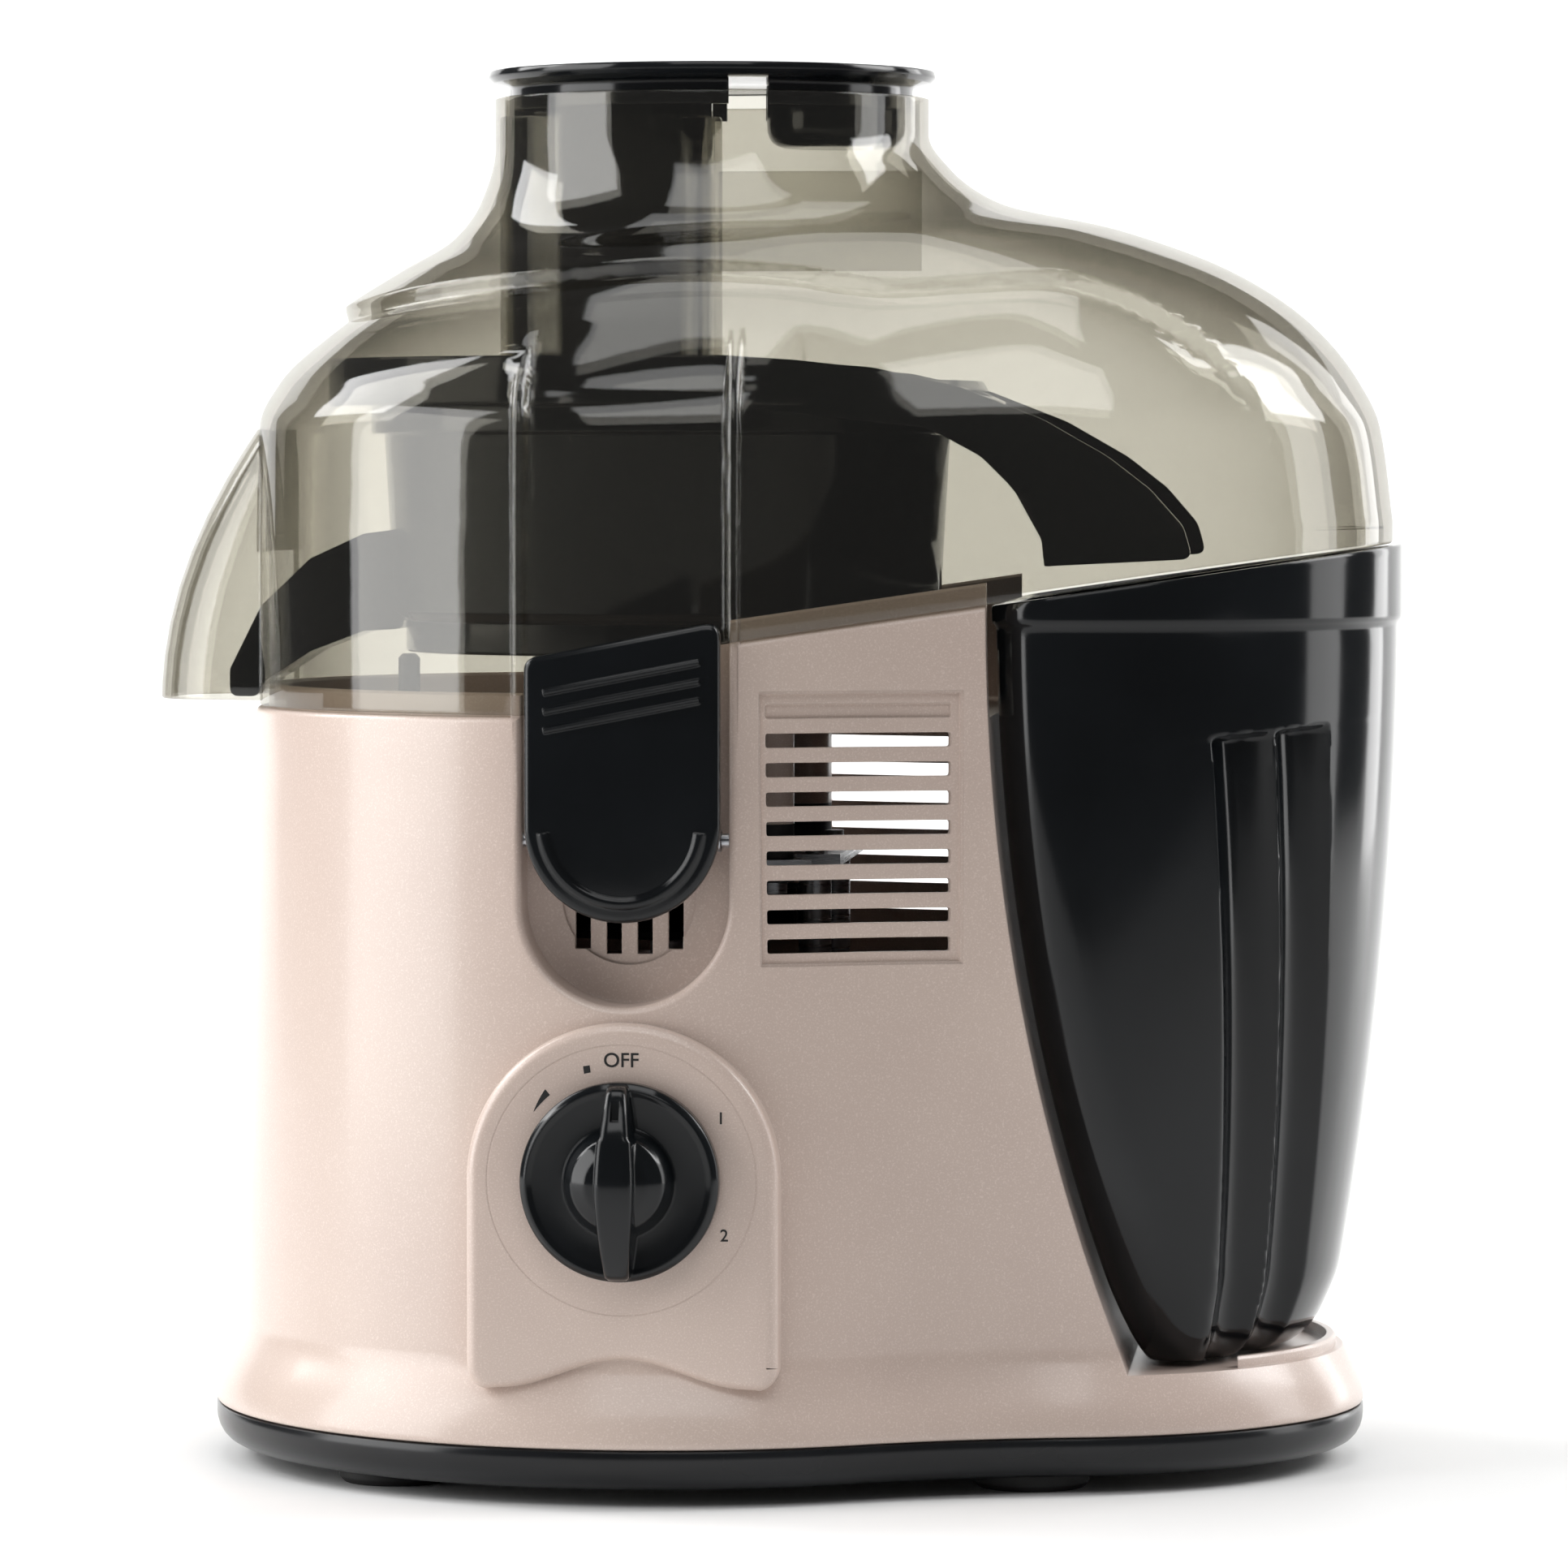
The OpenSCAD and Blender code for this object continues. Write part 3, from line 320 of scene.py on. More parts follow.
def end_r(z):
    return LOBE_R - LOBE_R_DROP * drawn_in(z)


def end_x(z):
    return LOBE_END - LOBE_END_DROP * drawn_in(z) - end_r(z)


def flare(z):
    if z >= SKIRT_TOP:
        return 0.0
    return SKIRT_FLARE * sin(pi / 2 * (SKIRT_TOP - z) / (SKIRT_TOP - PARTING_Z)) ** 1.2


def plan(grow, z):
    return figure_of_eight(
        big_r(z) + grow, end_r(z) + grow, end_x(z), WAIST_R - grow,
        lambda a: np.linspace(a, 2 * pi - a, 151), 20, 90)


def ring(grow, z):
    return [(x, y, z) for x, y in plan(grow, z)]


def joint(x):
    return JOINT_Z + JOINT_SLOPE * x


def top_edge(x):
    """Height of the housing's top edge, level on the left and slanted on the right."""
    t = np.clip((x + 1.5) / 3, 0, 1)
    return EDGE_Z + (joint(x) - EDGE_Z) * t * t * (3 - 2 * t)


def cut_x(z):
    return CUT_TOP_X + CUT_RUN * (max(0, LOBE_TOP_Z - z) / (LOBE_TOP_Z - FLOOR_Z)) ** CUT_POWER


# ---- Materials ----


class Shader:
    """Small helper that adds and links shader nodes."""

    def __init__(self, name):
        self.material = bpy.data.materials.new(name)
        self.material.use_nodes = True
        self.tree = self.material.node_tree
        self.tree.nodes.clear()
        self.output = self.add("ShaderNodeOutputMaterial")
        self.where = self.add("ShaderNodeTexCoord").outputs["Object"]

    def add(self, kind, inputs=None, **settings):
        node = self.tree.nodes.new(kind)
        for key, value in settings.items():
            setattr(node, key, value)
        for key, value in (inputs or {}).items():
            if isinstance(value, bpy.types.NodeSocket):
                self.tree.links.new(value, node.inputs[key])
            else:
                node.inputs[key].default_value = value
        return node

    def noise(self, scale, detail=2.0, rough=0.5, vector=None):
        node = self.add(
            "ShaderNodeTexNoise",
            {"Vector": vector or self.where, "Scale": scale, "Detail": detail, "Roughness": rough},
        )
        return node.outputs["Fac"]

    def stretch(self, factors):
        node = self.add("ShaderNodeMapping", {"Vector": self.where, "Scale": factors})
        return node.outputs["Vector"]

    def spread(self, value, low, high, start=0.0, end=1.0):
        node = self.add(
            "ShaderNodeMapRange",
            {"Value": value, "From Min": start, "From Max": end, "To Min": low, "To Max": high},
        )
        return node.outputs["Result"]

    def math(self, operation, a, b=0.0):
        node = self.add("ShaderNodeMath", {0: a, 1: b}, operation=operation)
        return node.outputs["Value"]

    def mix(self, factor, first, second):
        node = self.add("ShaderNodeMix", data_type="RGBA")
        sockets = {s.identifier: s for s in node.inputs}
        for key, value in (("Factor_Float", factor), ("A_Color", first), ("B_Color", second)):
            if isinstance(value, bpy.types.NodeSocket):
                self.tree.links.new(value, sockets[key])
            else:
                sockets[key].default_value = value
        return next(s for s in node.outputs if s.identifier == "Result_Color")

    def bump(self, height, strength, distance, soft_edge=0.0):
        inputs = {"Height": height, "Strength": strength, "Distance": distance}
        if soft_edge > 0:
            edge = self.add("ShaderNodeBevel", {"Radius": soft_edge}, samples=4)
            inputs["Normal"] = edge.outputs["Normal"]
        return self.add("ShaderNodeBump", inputs).outputs["Normal"]

    def principled(self, **inputs):
        names = {key.replace("_", " "): value for key, value in inputs.items()}
        node = self.add("ShaderNodeBsdfPrincipled", names)
        self.tree.links.new(node.outputs["BSDF"], self.output.inputs["Surface"])
        return self.material


def rgb(r, g, b):
    """Linear colour of an sRGB triple from 0 to 255."""
    result = []
    for c in (r, g, b):
        c /= 255
        result.append(c / 12.92 if c <= 0.04045 else ((c + 0.055) / 1.055) ** 2.4)
    return (*result, 1.0)


def champagne_plastic(name, light, dark, rough=(0.26, 0.34)):
    """Satin moulded plastic with a fine pearl grain and faint flow clouds."""
    s = Shader(name)
    grain = s.noise(2600, 1.0, 0.5)
    clouds = s.noise(14, 3.0, 0.55)
    tone = s.mix(s.spread(clouds, 0.0, 1.0, 0.3, 0.7), light, dark)
    pearl = s.mix(s.spread(grain, 0.0, 0.22, 0.52, 0.75), tone, (1.0, 0.9, 0.84, 1.0))
    normal = s.bump(grain, 0.10, 0.00003, 0.0005)
    return s.principled(
        Base_Color=pearl,
        Roughness=s.spread(s.noise(60, 2.0), rough[0], rough[1]),
        Specular_IOR_Level=0.5,
        Coat_Weight=0.25,
        Coat_Roughness=0.12,
        Normal=normal,
    )


def black_plastic(name, base, rough, grain=0.03):
    """Moulded black plastic: slight cloudiness, uneven gloss and a fine skin texture."""
    s = Shader(name)
    clouds = s.noise(22, 3.0, 0.6)
    lighter = tuple(min(1.0, c * 1.7) for c in base[:3]) + (1.0,)
    tone = s.mix(s.spread(clouds, 0.0, 1.0, 0.35, 0.7), base, lighter)
    skin = s.noise(1800, 2.0, 0.5)
    return s.principled(
        Base_Color=tone,
        Roughness=s.spread(s.noise(90, 3.0, 0.6), rough[0], rough[1]),
        Specular_IOR_Level=0.34,
        Coat_Weight=0.0,
        Coat_Roughness=0.05,
        Normal=s.bump(skin, grain, 0.00003, 0.0006),
    )


def metal(name, light, dark, rough=(0.22, 0.38), stretch=(40, 40, 1500), grain=0.15):
    """Metal with drawn or brushed lines along one direction and slight staining."""
    s = Shader(name)
    lines = s.noise(1.0, 4.0, 0.6, s.stretch(stretch))
    stains = s.noise(35, 4.0, 0.65)
    tone = s.mix(s.spread(stains, 0.0, 1.0, 0.3, 0.75), light, dark)
    return s.principled(
        Base_Color=tone,
        Metallic=1.0,
        Roughness=s.spread(lines, rough[0], rough[1], 0.3, 0.7),
        Normal=s.bump(lines, grain, 0.00004, 0.0002),
    )


def laminated(name, light, dark):
    """Stack of thin steel sheets seen on edge."""
    s = Shader(name)
    sheets = s.add(
        "ShaderNodeTexWave",
        {"Vector": s.where, "Scale": 320.0, "Distortion": 0.4, "Detail": 1.0},
        bands_direction="Z",
    ).outputs["Fac"]
    tone = s.mix(s.spread(sheets, 0.0, 1.0, 0.2, 0.8), dark, light)
    return s.principled(
        Base_Color=tone,
        Metallic=0.85,
        Roughness=s.spread(s.noise(200, 3.0), 0.38, 0.55),
        Normal=s.bump(sheets, 0.4, 0.0001),
    )


def wound_copper(name):
    """Enamelled wire: fine rounded turns with varnish gloss."""
    s = Shader(name)
    turns = s.add(
        "ShaderNodeTexWave",
        {"Vector": s.where, "Scale": 260.0, "Distortion": 2.5, "Detail": 2.0},
        bands_direction="DIAGONAL",
    ).outputs["Fac"]
    tone = s.mix(turns, rgb(96, 38, 16), rgb(196, 104, 58))
    return s.principled(
        Base_Color=tone,
        Metallic=0.7,
        Roughness=s.spread(s.noise(150, 3.0), 0.25, 0.45),
        Coat_Weight=0.5,
        Coat_Roughness=0.15,
        Normal=s.bump(turns, 0.6, 0.0002),
    )


def rubber_material(name):
    s = Shader(name)
    dust = s.noise(45, 4.0, 0.6)
    grain = s.noise(2200, 2.0, 0.6)
    tone = s.mix(s.spread(dust, 0.0, 1.0, 0.35, 0.8), rgb(20, 20, 21), rgb(44, 43, 42))
    return s.principled(
        Base_Color=tone,
        Roughness=s.spread(grain, 0.55, 0.8),
        Normal=s.bump(grain, 0.3, 0.00006, 0.0004),
    )


def carbon_material(name):
    s = Shader(name)
    grain = s.noise(900, 4.0, 0.6)
    tone = s.mix(grain, rgb(22, 22, 24), rgb(62, 62, 66))
    return s.principled(
        Base_Color=tone, Roughness=s.spread(grain, 0.45, 0.7), Normal=s.bump(grain, 0.3, 0.0001)
    )


def sieve_material(name):
    """Etched stainless sieve: rows of small holes that let light through."""
    s = Shader(name)
    cells = s.add(
        "ShaderNodeTexVoronoi",
        {"Vector": s.where, "Scale": 620.0, "Randomness": 0.0},
        feature="F1",
    ).outputs["Distance"]
    hole = s.math("LESS_THAN", cells, 0.33)
    lines = s.noise(1.0, 3.0, 0.6, s.stretch((900, 900, 60)))
    steel = s.principled(
        Base_Color=s.mix(lines, rgb(150, 152, 156), rgb(205, 207, 210)),
        Metallic=1.0,
        Roughness=s.spread(lines, 0.2, 0.38),
        Alpha=s.math("SUBTRACT", 1.0, s.math("MULTIPLY", hole, 0.75)),
        Normal=s.bump(cells, 0.4, 0.0001),
    )
    return steel


def smoke_material(name, face_tint, edge_tint, haze=0.05):
    """Smoky clear plastic. Each surface tints the light, more where it is seen at a slant."""
    s = Shader(name)
    swirl = s.noise(9, 2.0, 0.5)
    ripple = s.noise(55, 2.0, 0.5)
    normal = s.bump(ripple, 0.16, 0.0004, 0.0009)
    facing = s.add("ShaderNodeLayerWeight", {"Blend": 0.5, "Normal": normal}).outputs["Facing"]
    slant = s.math("POWER", facing, 1.7)
    depth = s.math("MULTIPLY", slant, s.spread(swirl, 0.85, 1.1))
    tint = s.mix(depth, face_tint, edge_tint)
    mirror = s.math("ADD", 0.045, s.math("MULTIPLY", s.math("POWER", facing, 4.0), 0.5))
    clear = s.add("ShaderNodeBsdfTransparent", {"Color": tint})
    shine = s.add(
        "ShaderNodeBsdfGlossy",
        {"Color": (1, 1, 1, 1), "Roughness": s.spread(ripple, 0.03, 0.07), "Normal": normal},
    )
    milk = s.add("ShaderNodeBsdfDiffuse", {"Color": rgb(176, 172, 160), "Normal": normal})
    body = s.add("ShaderNodeMixShader", {0: haze, 1: clear.outputs[0], 2: milk.outputs[0]})
    whole = s.add("ShaderNodeMixShader", {0: mirror, 1: body.outputs[0], 2: shine.outputs[0]})
    s.tree.links.new(whole.outputs[0], s.output.inputs["Surface"])
    return s.material


def ink_material(name):
    """Pad-printed ink with slightly uneven coverage."""
    s = Shader(name)
    speck = s.noise(1500, 3.0, 0.6)
    tone = s.mix(speck, rgb(14, 14, 15), rgb(30, 29, 29))
    return s.principled(Base_Color=tone, Roughness=s.spread(speck, 0.4, 0.55))


def floor_material(name):
    """Pale floor, see-through from behind so that the object can be looked at from all sides."""
    s = Shader(name)
    cloud = s.noise(3, 2.0, 0.5)
    tone = s.mix(cloud, rgb(238, 238, 237), rgb(243, 243, 243))
    paint = s.add("ShaderNodeBsdfPrincipled", {"Base Color": tone, "Roughness": s.spread(cloud, 0.55, 0.6)})
    behind = s.add("ShaderNodeNewGeometry").outputs["Backfacing"]
    clear = s.add("ShaderNodeBsdfTransparent")
    both = s.add("ShaderNodeMixShader", {0: behind, 1: paint.outputs[0], 2: clear.outputs[0]})
    s.tree.links.new(both.outputs[0], s.output.inputs["Surface"])
    return s.material


# ---- Housing ----


def housing_body():
    """Outer skin as one closed solid, from the bottom edge to the top edge and the deck."""
    rows = [ring(flare(13.1) - 0.6, PARTING_Z), ring(flare(13.0) - 0.15, PARTING_Z + 0.25)]
    for z in [13.1, 14, 15.5, 17, 18.5, 20, 21.5, 23, 24.5, 26, 27.5, 29, 31, 35, 45, 60, 75]:
        rows.append(ring(flare(z), z))
    for z in [90, 105, 120, 132, 142]:
        rows.append(ring(0, z))
    roll = 1.3

    def edge_row(grow, share=None, under=0.0, over=0.0):
        result = []
        for x, y in plan(grow, 160):
            top = top_edge(x)
            z = 142 + (top - roll - 142) * share if share is not None else top - under + over
            result.append((x, y, z))
        return result

    for share in (0.35, 0.7, 1.0):
        rows.append(edge_row(0, share))
    for k in range(1, 6):
        t = pi / 2 * k / 5
        rows.append(edge_row(-roll * (1 - cos(t)), under=roll * (1 - sin(t))))
    rows.append(edge_row(-UPSTAND_IN))
    rows.append(edge_row(-UPSTAND_IN, over=UPSTAND_H - 0.6))
    rows.append(edge_row(-UPSTAND_IN - 0.6, over=UPSTAND_H))
    rows.append(edge_row(-UPSTAND_IN - WALL + 0.5, over=UPSTAND_H))
    rows.append(edge_row(-UPSTAND_IN - WALL, over=UPSTAND_H - 0.6))
    rows.append([(x, y, DECK_Z + 0.3) for x, y in plan(-UPSTAND_IN - WALL, 166)])
    rows.append([(x, y, DECK_Z) for x, y in plan(-UPSTAND_IN - WALL - 0.4, 166)])
    return loft("housing_shell", rows)


def bay_solid(grow):
    """The space to the right of the cut, moved by grow, with a rounded foot."""
    heights = np.linspace(FLOOR_Z, LOBE_TOP_Z, 48)
    curve = [(cut_x(z) - grow, z) for z in heights if z > FLOOR_Z - grow + 0.1]
    points = [(400, FLOOR_Z - grow), (cut_x(FLOOR_Z) - grow, FLOOR_Z - grow)] + curve
    points += [(CUT_TOP_X - grow, 260), (400, 260)]
    return prism("bay", points[::-1], 300)


def latch_space(grow, back_y, mouth):
    """U-shaped cutter behind a latch; mouth is the radius of its rounded rim on the wall."""
    r = RECESS_R + grow
    path = [(-r, 230)] + [(-r, z) for z in np.linspace(190, RECESS_Z, 26)]
    path += arc(0, RECESS_Z, r, np.linspace(pi, 2 * pi, 61)[1:-1])
    path += [(r, z) for z in np.linspace(RECESS_Z, 190, 26)] + [(r, 230)]
    path = np.array(path)
    outside = -140.0
    if mouth <= 0:
        return prism("latch_space", path, -back_y, outside)

    def wall_y(x, z):
        radius = big_r(z) if z > SKIRT_TOP else WALL_R
        return -sqrt(max(1.0, radius**2 - x * x))

    rows = [[(x, outside, z) for x, z in inset(path, -mouth * 1.4)]]
    for k in range(8):
        t = pi / 2 * k / 7
        grown = inset(path, -mouth * (1 - sin(t)))
        depth = mouth * (1 - cos(t)) - 0.02
        rows.append([(x, wall_y(x, z) + depth, z) for x, z in grown])
    for inward, short in ((0, 0.8), (0.2, 0.2), (0.8, 0)):
        rows.append([(x, -back_y - short, z) for x, z in inset(path, inward)])
    return loft("latch_space", rows)


def panel_outline():
    """Arch with rounded lower corners and a soft hill between them."""
    r, low, corner = PANEL_R, PANEL_LOW, 5
    span = r - corner - 2
    points = arc(0, KNOB_Z, r, np.linspace(0, pi, 61))
    points += [(-r, z) for z in np.linspace(KNOB_Z, low + corner, 12)[1:]]
    for t in np.linspace(0, pi / 2 * 0.85, 7)[1:]:
        points.append((-r + corner - corner * cos(t), low + corner - corner * sin(t)))
    for x in np.linspace(-span, span, 31):
        points.append((x, low + 0.4 + PANEL_HILL * 0.5 * (1 + cos(pi * x / span))))
    for t in np.linspace(pi / 2 * 0.15, pi / 2, 7):
        points.append((r - corner + corner * sin(t), low + corner - corner * cos(t)))
    points += [(r, z) for z in np.linspace(low + corner, KNOB_Z, 12)[:-1]]
    return np.array(points)


def dial_panel(back_y):
    """The flat dial panel with its rolled edge."""
    return front_plate("dial_panel", panel_outline(), edge_levels(-back_y, -PANEL_Y, 2.4, 7))


def pair(obj):
    """One object with obj and its copy on the other side of the drive axis."""
    return join("pair", [obj, mirrored(obj, "other")])


def vent_point(x, depth, z):
    """A point of a vent, from its place along the wall, its distance out and its height."""
    turn = radians(VENT_TURN)
    return (x * cos(turn) + depth * sin(turn), x * sin(turn) - depth * cos(turn), z)


def vent_recess(grow, depth):
    """Cutter whose floor follows the wall at a depth below its surface."""
    half, low, high = VENT_W / 2 + grow, VENT_LOW - grow, VENT_HIGH + grow
    corners = [(-half, low), (half, low), (half, high), (-half, high)]
    cutter = loft("vent_recess", [[vent_point(x, d, z) for x, z in corners] for d in (130.0, 80.0)])
    boolean(cutter, loft("wall_core", [ring(-depth, z) for z in (100, 115, 130, 145, 160, 180)]))
    return cutter


def vent_slots():
    """Louvre slots; the one above the deck is blind."""
    half = VENT_W / 2 - 1.5
    made = []
    for i in range(VENT_SLOTS):
        z0 = VENT_LOW + 2.2 + i * VENT_PITCH
        z1 = z0 + VENT_SLOT_H
        shape = rounded([(-half, z0), (half, z0), (half, z1), (-half, z1)], 0.6, 3)
        slot = loft("slot", [[vent_point(x, d, z) for x, z in shape] for d in (130.0, 85.0)])
        if i == VENT_SLOTS - 1:
            boolean(slot, loft("wall_core", [ring(-VENT_DEPTH - 0.7, z) for z in (150, 180)]))
        made.append(slot)
    return join("slots", made)


def housing_posts():
    """Screw posts on the skirt and motor posts under the deck, with their pilot holes."""
    posts, pilots = [], []
    for x, y in SCREWS_AT:
        height = 10.5 if x > 0 else 30
        posts.append(rod("post", (x, y, PARTING_Z + 1), (x, y, PARTING_Z + 1 + height), 5))
        pilots.append(rod("pilot", (x, y, 5), (x, y, 22), SCREW_R))
    for x in (-POST_X, POST_X):
        for y in (-POST_Y, POST_Y):
            posts.append(rod("post", (x, y, 142), (x, y, DECK_Z - DECK_T + 0.5), POST_R))
            pilots.append(rod("pilot", (x, y, 140), (x, y, 156), SCREW_R))
    made = join("posts", posts)
    boolean(made, join("pilots", pilots))
    return made


def housing_holes():
    """Holes for the drive shaft, cord gland, interlock pin, switch bushing and latch pins."""
    holes = [
        rod("hole", (0, 0, 150), (0, 0, 175), 13, 96),
        rod("hole", (GLAND_X, 60, GLAND_Z), (GLAND_X, 120, GLAND_Z), 7.02, 64),
        rod("hole", (*INTERLOCK_AT, 150), (*INTERLOCK_AT, 172), 2.56),
        rod("hole", (0, -PANEL_Y - 5, KNOB_Z), (0, -PANEL_Y + 15, KNOB_Z), 5.1, 48),
    ]
    for side in (-1, 1):
        y = side * PIN_Y
        holes.append(rod("hole", (-RECESS_R - 1.6, y, PIN_Z), (RECESS_R + 1.6, y, PIN_Z), PIN_R + 0.02))
    return join("holes", holes)


def floor_lip():
    """Low lip round the right end of the container's floor."""
    lip = loft("lip", [ring(0.4, FLOOR_Z - 1), ring(0.4, FLOOR_Z + 1.8), ring(-0.1, FLOOR_Z + 2.4)])
    boolean(lip, loft("lip_in", [ring(-1.6, FLOOR_Z - 5), ring(-1.6, FLOOR_Z + 6)]))
    boolean(lip, block("lip_part", (128, -60, FLOOR_Z - 1), (188, 60, FLOOR_Z + 9)), "INTERSECT")
    return lip


def window_bars():
    """Openings of the barred window behind the latch tip."""
    bars = []
    for i in (-1.5, -0.5, 0.5, 1.5):
        x, low = i * BAR_PITCH, BAR_LOW + 0.55 * i * i
        low_corner, high_corner = (x - BAR_HALF, -RECESS_Y - 5, low), (x + BAR_HALF, -RECESS_Y + 5, BAR_TOP)
        bars.append(block("bar", low_corner, high_corner))
    return bars


def housing():
    """The champagne body: outer skin, dial panel, latch recesses, vents, posts and holes."""
    shell = housing_body()
    side = RECESS_R + WALL
    cheek = [(-side, 160), (side, 160), (side, 182), (0.5, 178.2), (-0.5, 170.6), (-side, 170.6)]
    boolean(shell, pair(prism("cheek", cheek, -77.6, -87.5)), "UNION")
    boolean(shell, dial_panel(62), "UNION")
    heights = (10, 14, 18, 22, 26, 29, 60, 100, 145, DECK_Z - DECK_T)
    inner = loft("inner", [ring(flare(z) * 0.8 - WALL, z) for z in heights])
    boolean(inner, bay_solid(WALL))
    boolean(inner, pair(latch_space(WALL, RECESS_Y - WALL, 0)))
    boolean(shell, inner)
    boolean(shell, bay_solid(0))
    boolean(shell, pair(latch_space(0, RECESS_Y, 1.9)))
    boolean(shell, pair(vent_recess(0.45, 0.35)))
    boolean(shell, pair(vent_recess(0, VENT_DEPTH)))
    boolean(shell, pair(rod("cup", (0, -RECESS_Y - 3, 127.6), (0, -RECESS_Y + 1.1, 127.6), CUP_R, 96)))
    boolean(shell, pair(join("cuts", [vent_slots()] + window_bars())))
    boolean(shell, front_lathe("ring_line", [(28.4, -0.06), (28.6, -0.06), (28.6, 1.0), (28.4, 1.0)]))
    boolean(shell, housing_posts(), "UNION")
    boolean(shell, floor_lip(), "UNION")
    boolean(shell, housing_holes())
    return shell


def wall_distance():
    """A function that tells how far a point lies inside the outer wall."""
    heights = np.arange(10.0, 200.0, 10.0)
    table = []
    for z in heights:
        shape = np.array(plan(flare(z), z))[:, :2]
        angle = np.arctan2(shape[:, 1], shape[:, 0])
        order = np.argsort(angle)
        table.append((angle[order], np.hypot(shape[:, 0], shape[:, 1])[order]))

    def inside_by(x, y, z):
        angles, radii = table[int(np.clip(round((z - 10) / 10), 0, len(table) - 1))]
        return float(np.interp(atan2(y, x), angles, radii, period=2 * pi)) - hypot(x, y)

    return inside_by


def paint_bay_shade(obj):
    """Faces of the motor bay take the second material, a painted shade: dark champagne that stands in for the
    shade inside the bay.
    """
    inside_by = wall_distance()
    for face in obj.data.polygons:
        x, y, z = (np.array(face.center) - AXIS) / MM
        if not 13 < z < DECK_Z - DECK_T + 0.2 or x > cut_x(max(z, FLOOR_Z)) - 0.3:
            continue
        depth = inside_by(x, y, z)
        inward = face.normal.dot(Vector((x, y, 0))) <= 0
        in_recess = abs(x) < RECESS_R + 0.3 and z > RECESS_Z - RECESS_R - 0.3 and abs(y) > RECESS_Y - 0.3
        on_panel = y < -PANEL_Y + WALL + 0.3 and abs(x) < PANEL_R + 0.3 and z < KNOB_Z + PANEL_R + 0.3
        # painted shade: faces deep inside the bay get the dark champagne material, except in the latch
        # recesses and on the dial panel
        if (depth > 1.9 and inward or depth > 20) and not in_recess and not on_panel:
            face.material_index = 1
    return obj


# ---- Bottom pan and feet ----

FEET_AT = {
    "foot_front_left": (-53, -57),
    "foot_front_right": (84, -54),
    "foot_rear_left": (-53, 57),
    "foot_rear_right": (84, 54),
}


def base_pan():
    levels = [(-0.6, 3.5), (1.2, 3.58), (2.8, 3.95), (4.2, 4.75), (5.2, 5.8), (5.95, 7.2),
              (6.35, 8.6), (6.5, 10.0), (6.5, 11.8), (6.3, 12.15), (5.8, 12.3)]
    pan = loft("bottom_pan", [ring(grow, z) for grow, z in levels])
    cuts = [block("slot", (i * 8 - 1.6, -24, 0), (i * 8 + 1.6, 24, 10)) for i in range(-4, 5)]
    cuts += [rod("hole", (x, y, 0), (x, y, 7), 3.9) for x, y in SCREWS_AT]
    return boolean(pan, join("cuts", cuts))


def foot(name, x, y):
    profile = [(0, 0.5), (4, 0.5), (4.6, 0), (11.4, 0), (12.5, 1.2), (12.5, 3.5), (0, 3.5)]
    return lathe(name + "_rubber", rounded(profile, [0, 0.3, 0.3, 0.6, 0.6, 0.2, 0], 3), x, y, 96)


# ---- Pulp container ----


def bin_columns():
    """Shares along the round end, close together where the finger grip is."""
    shares = list(np.linspace(0, 0.05, 5)[:-1]) + list(np.linspace(0.05, 0.40, 105)[:-1])
    shares += list(np.linspace(0.40, 0.60, 21)[:-1]) + list(np.linspace(0.60, 0.95, 105)[:-1])
    return np.array(shares + list(np.linspace(0.95, 1.0, 5)))


BIN_SHARES = bin_columns()


def grip_depth(t, z, r):
    """How far the finger channels go into the round end at angle t and height z."""
    t = abs(t)
    along = (z - GRIP_LOW) / (GRIP_HIGH - GRIP_LOW)
    out = 5.0 - 2.4 * along
    best = -out
    for low, high, bore in ((45, 57, 8.0), (32.5, 43.5, 8.4)):
        s = r * (t - radians(low + (high - low) * along))
        best = max(best, sqrt(max(0.0, bore * bore - s * s)) - out)
    depth = 0.5 * (best + sqrt(best * best + 0.22))
    top = 164.0 - 2.4 * (t - radians(35)) / radians(28)
    end = min(1, max(0, (top - z) / 1.7))
    return depth * end * end * (3 - 2 * end)


def bin_row(grow, z, under=None):
    """Ring of the container; with under given, it lies that far under the slanted top edge."""
    left = cut_x(z) + BAY_GAP - grow
    r, cx = end_r(z) + grow, end_x(z)
    q = max(1.5, CORNER_R + grow)
    qx = left + q
    qy = sqrt((r - q) ** 2 - (qx - cx) ** 2)
    c = atan2(qy, qx - cx)
    points = []
    for share in BIN_SHARES:
        t = -c + 2 * c * share
        rr = r - grip_depth(t, z, r)
        points.append((cx + rr * cos(t), rr * sin(t)))
    points += arc(qx, qy, q, [c + (pi - c) * i / 10 for i in range(1, 11)])
    points += [(left, y) for y in np.linspace(qy, -qy, 9)[1:-1]]
    points += arc(qx, -qy, q, [pi + (pi - c) * i / 10 for i in range(10)])
    return [(x, y, z if under is None else joint(x) - under) for x, y in points]


def foot_row(grow, z):
    """Row near the foot, drawn in by grow at the round end and by a quarter of it at the flat wall."""
    wide, small = np.array(bin_row(0, z)), np.array(bin_row(grow, z))
    share = 0.25 + 0.75 * np.clip((wide[:, 0:1] - 106) / 34, 0, 1)
    return wide * (1 - share) + small * share


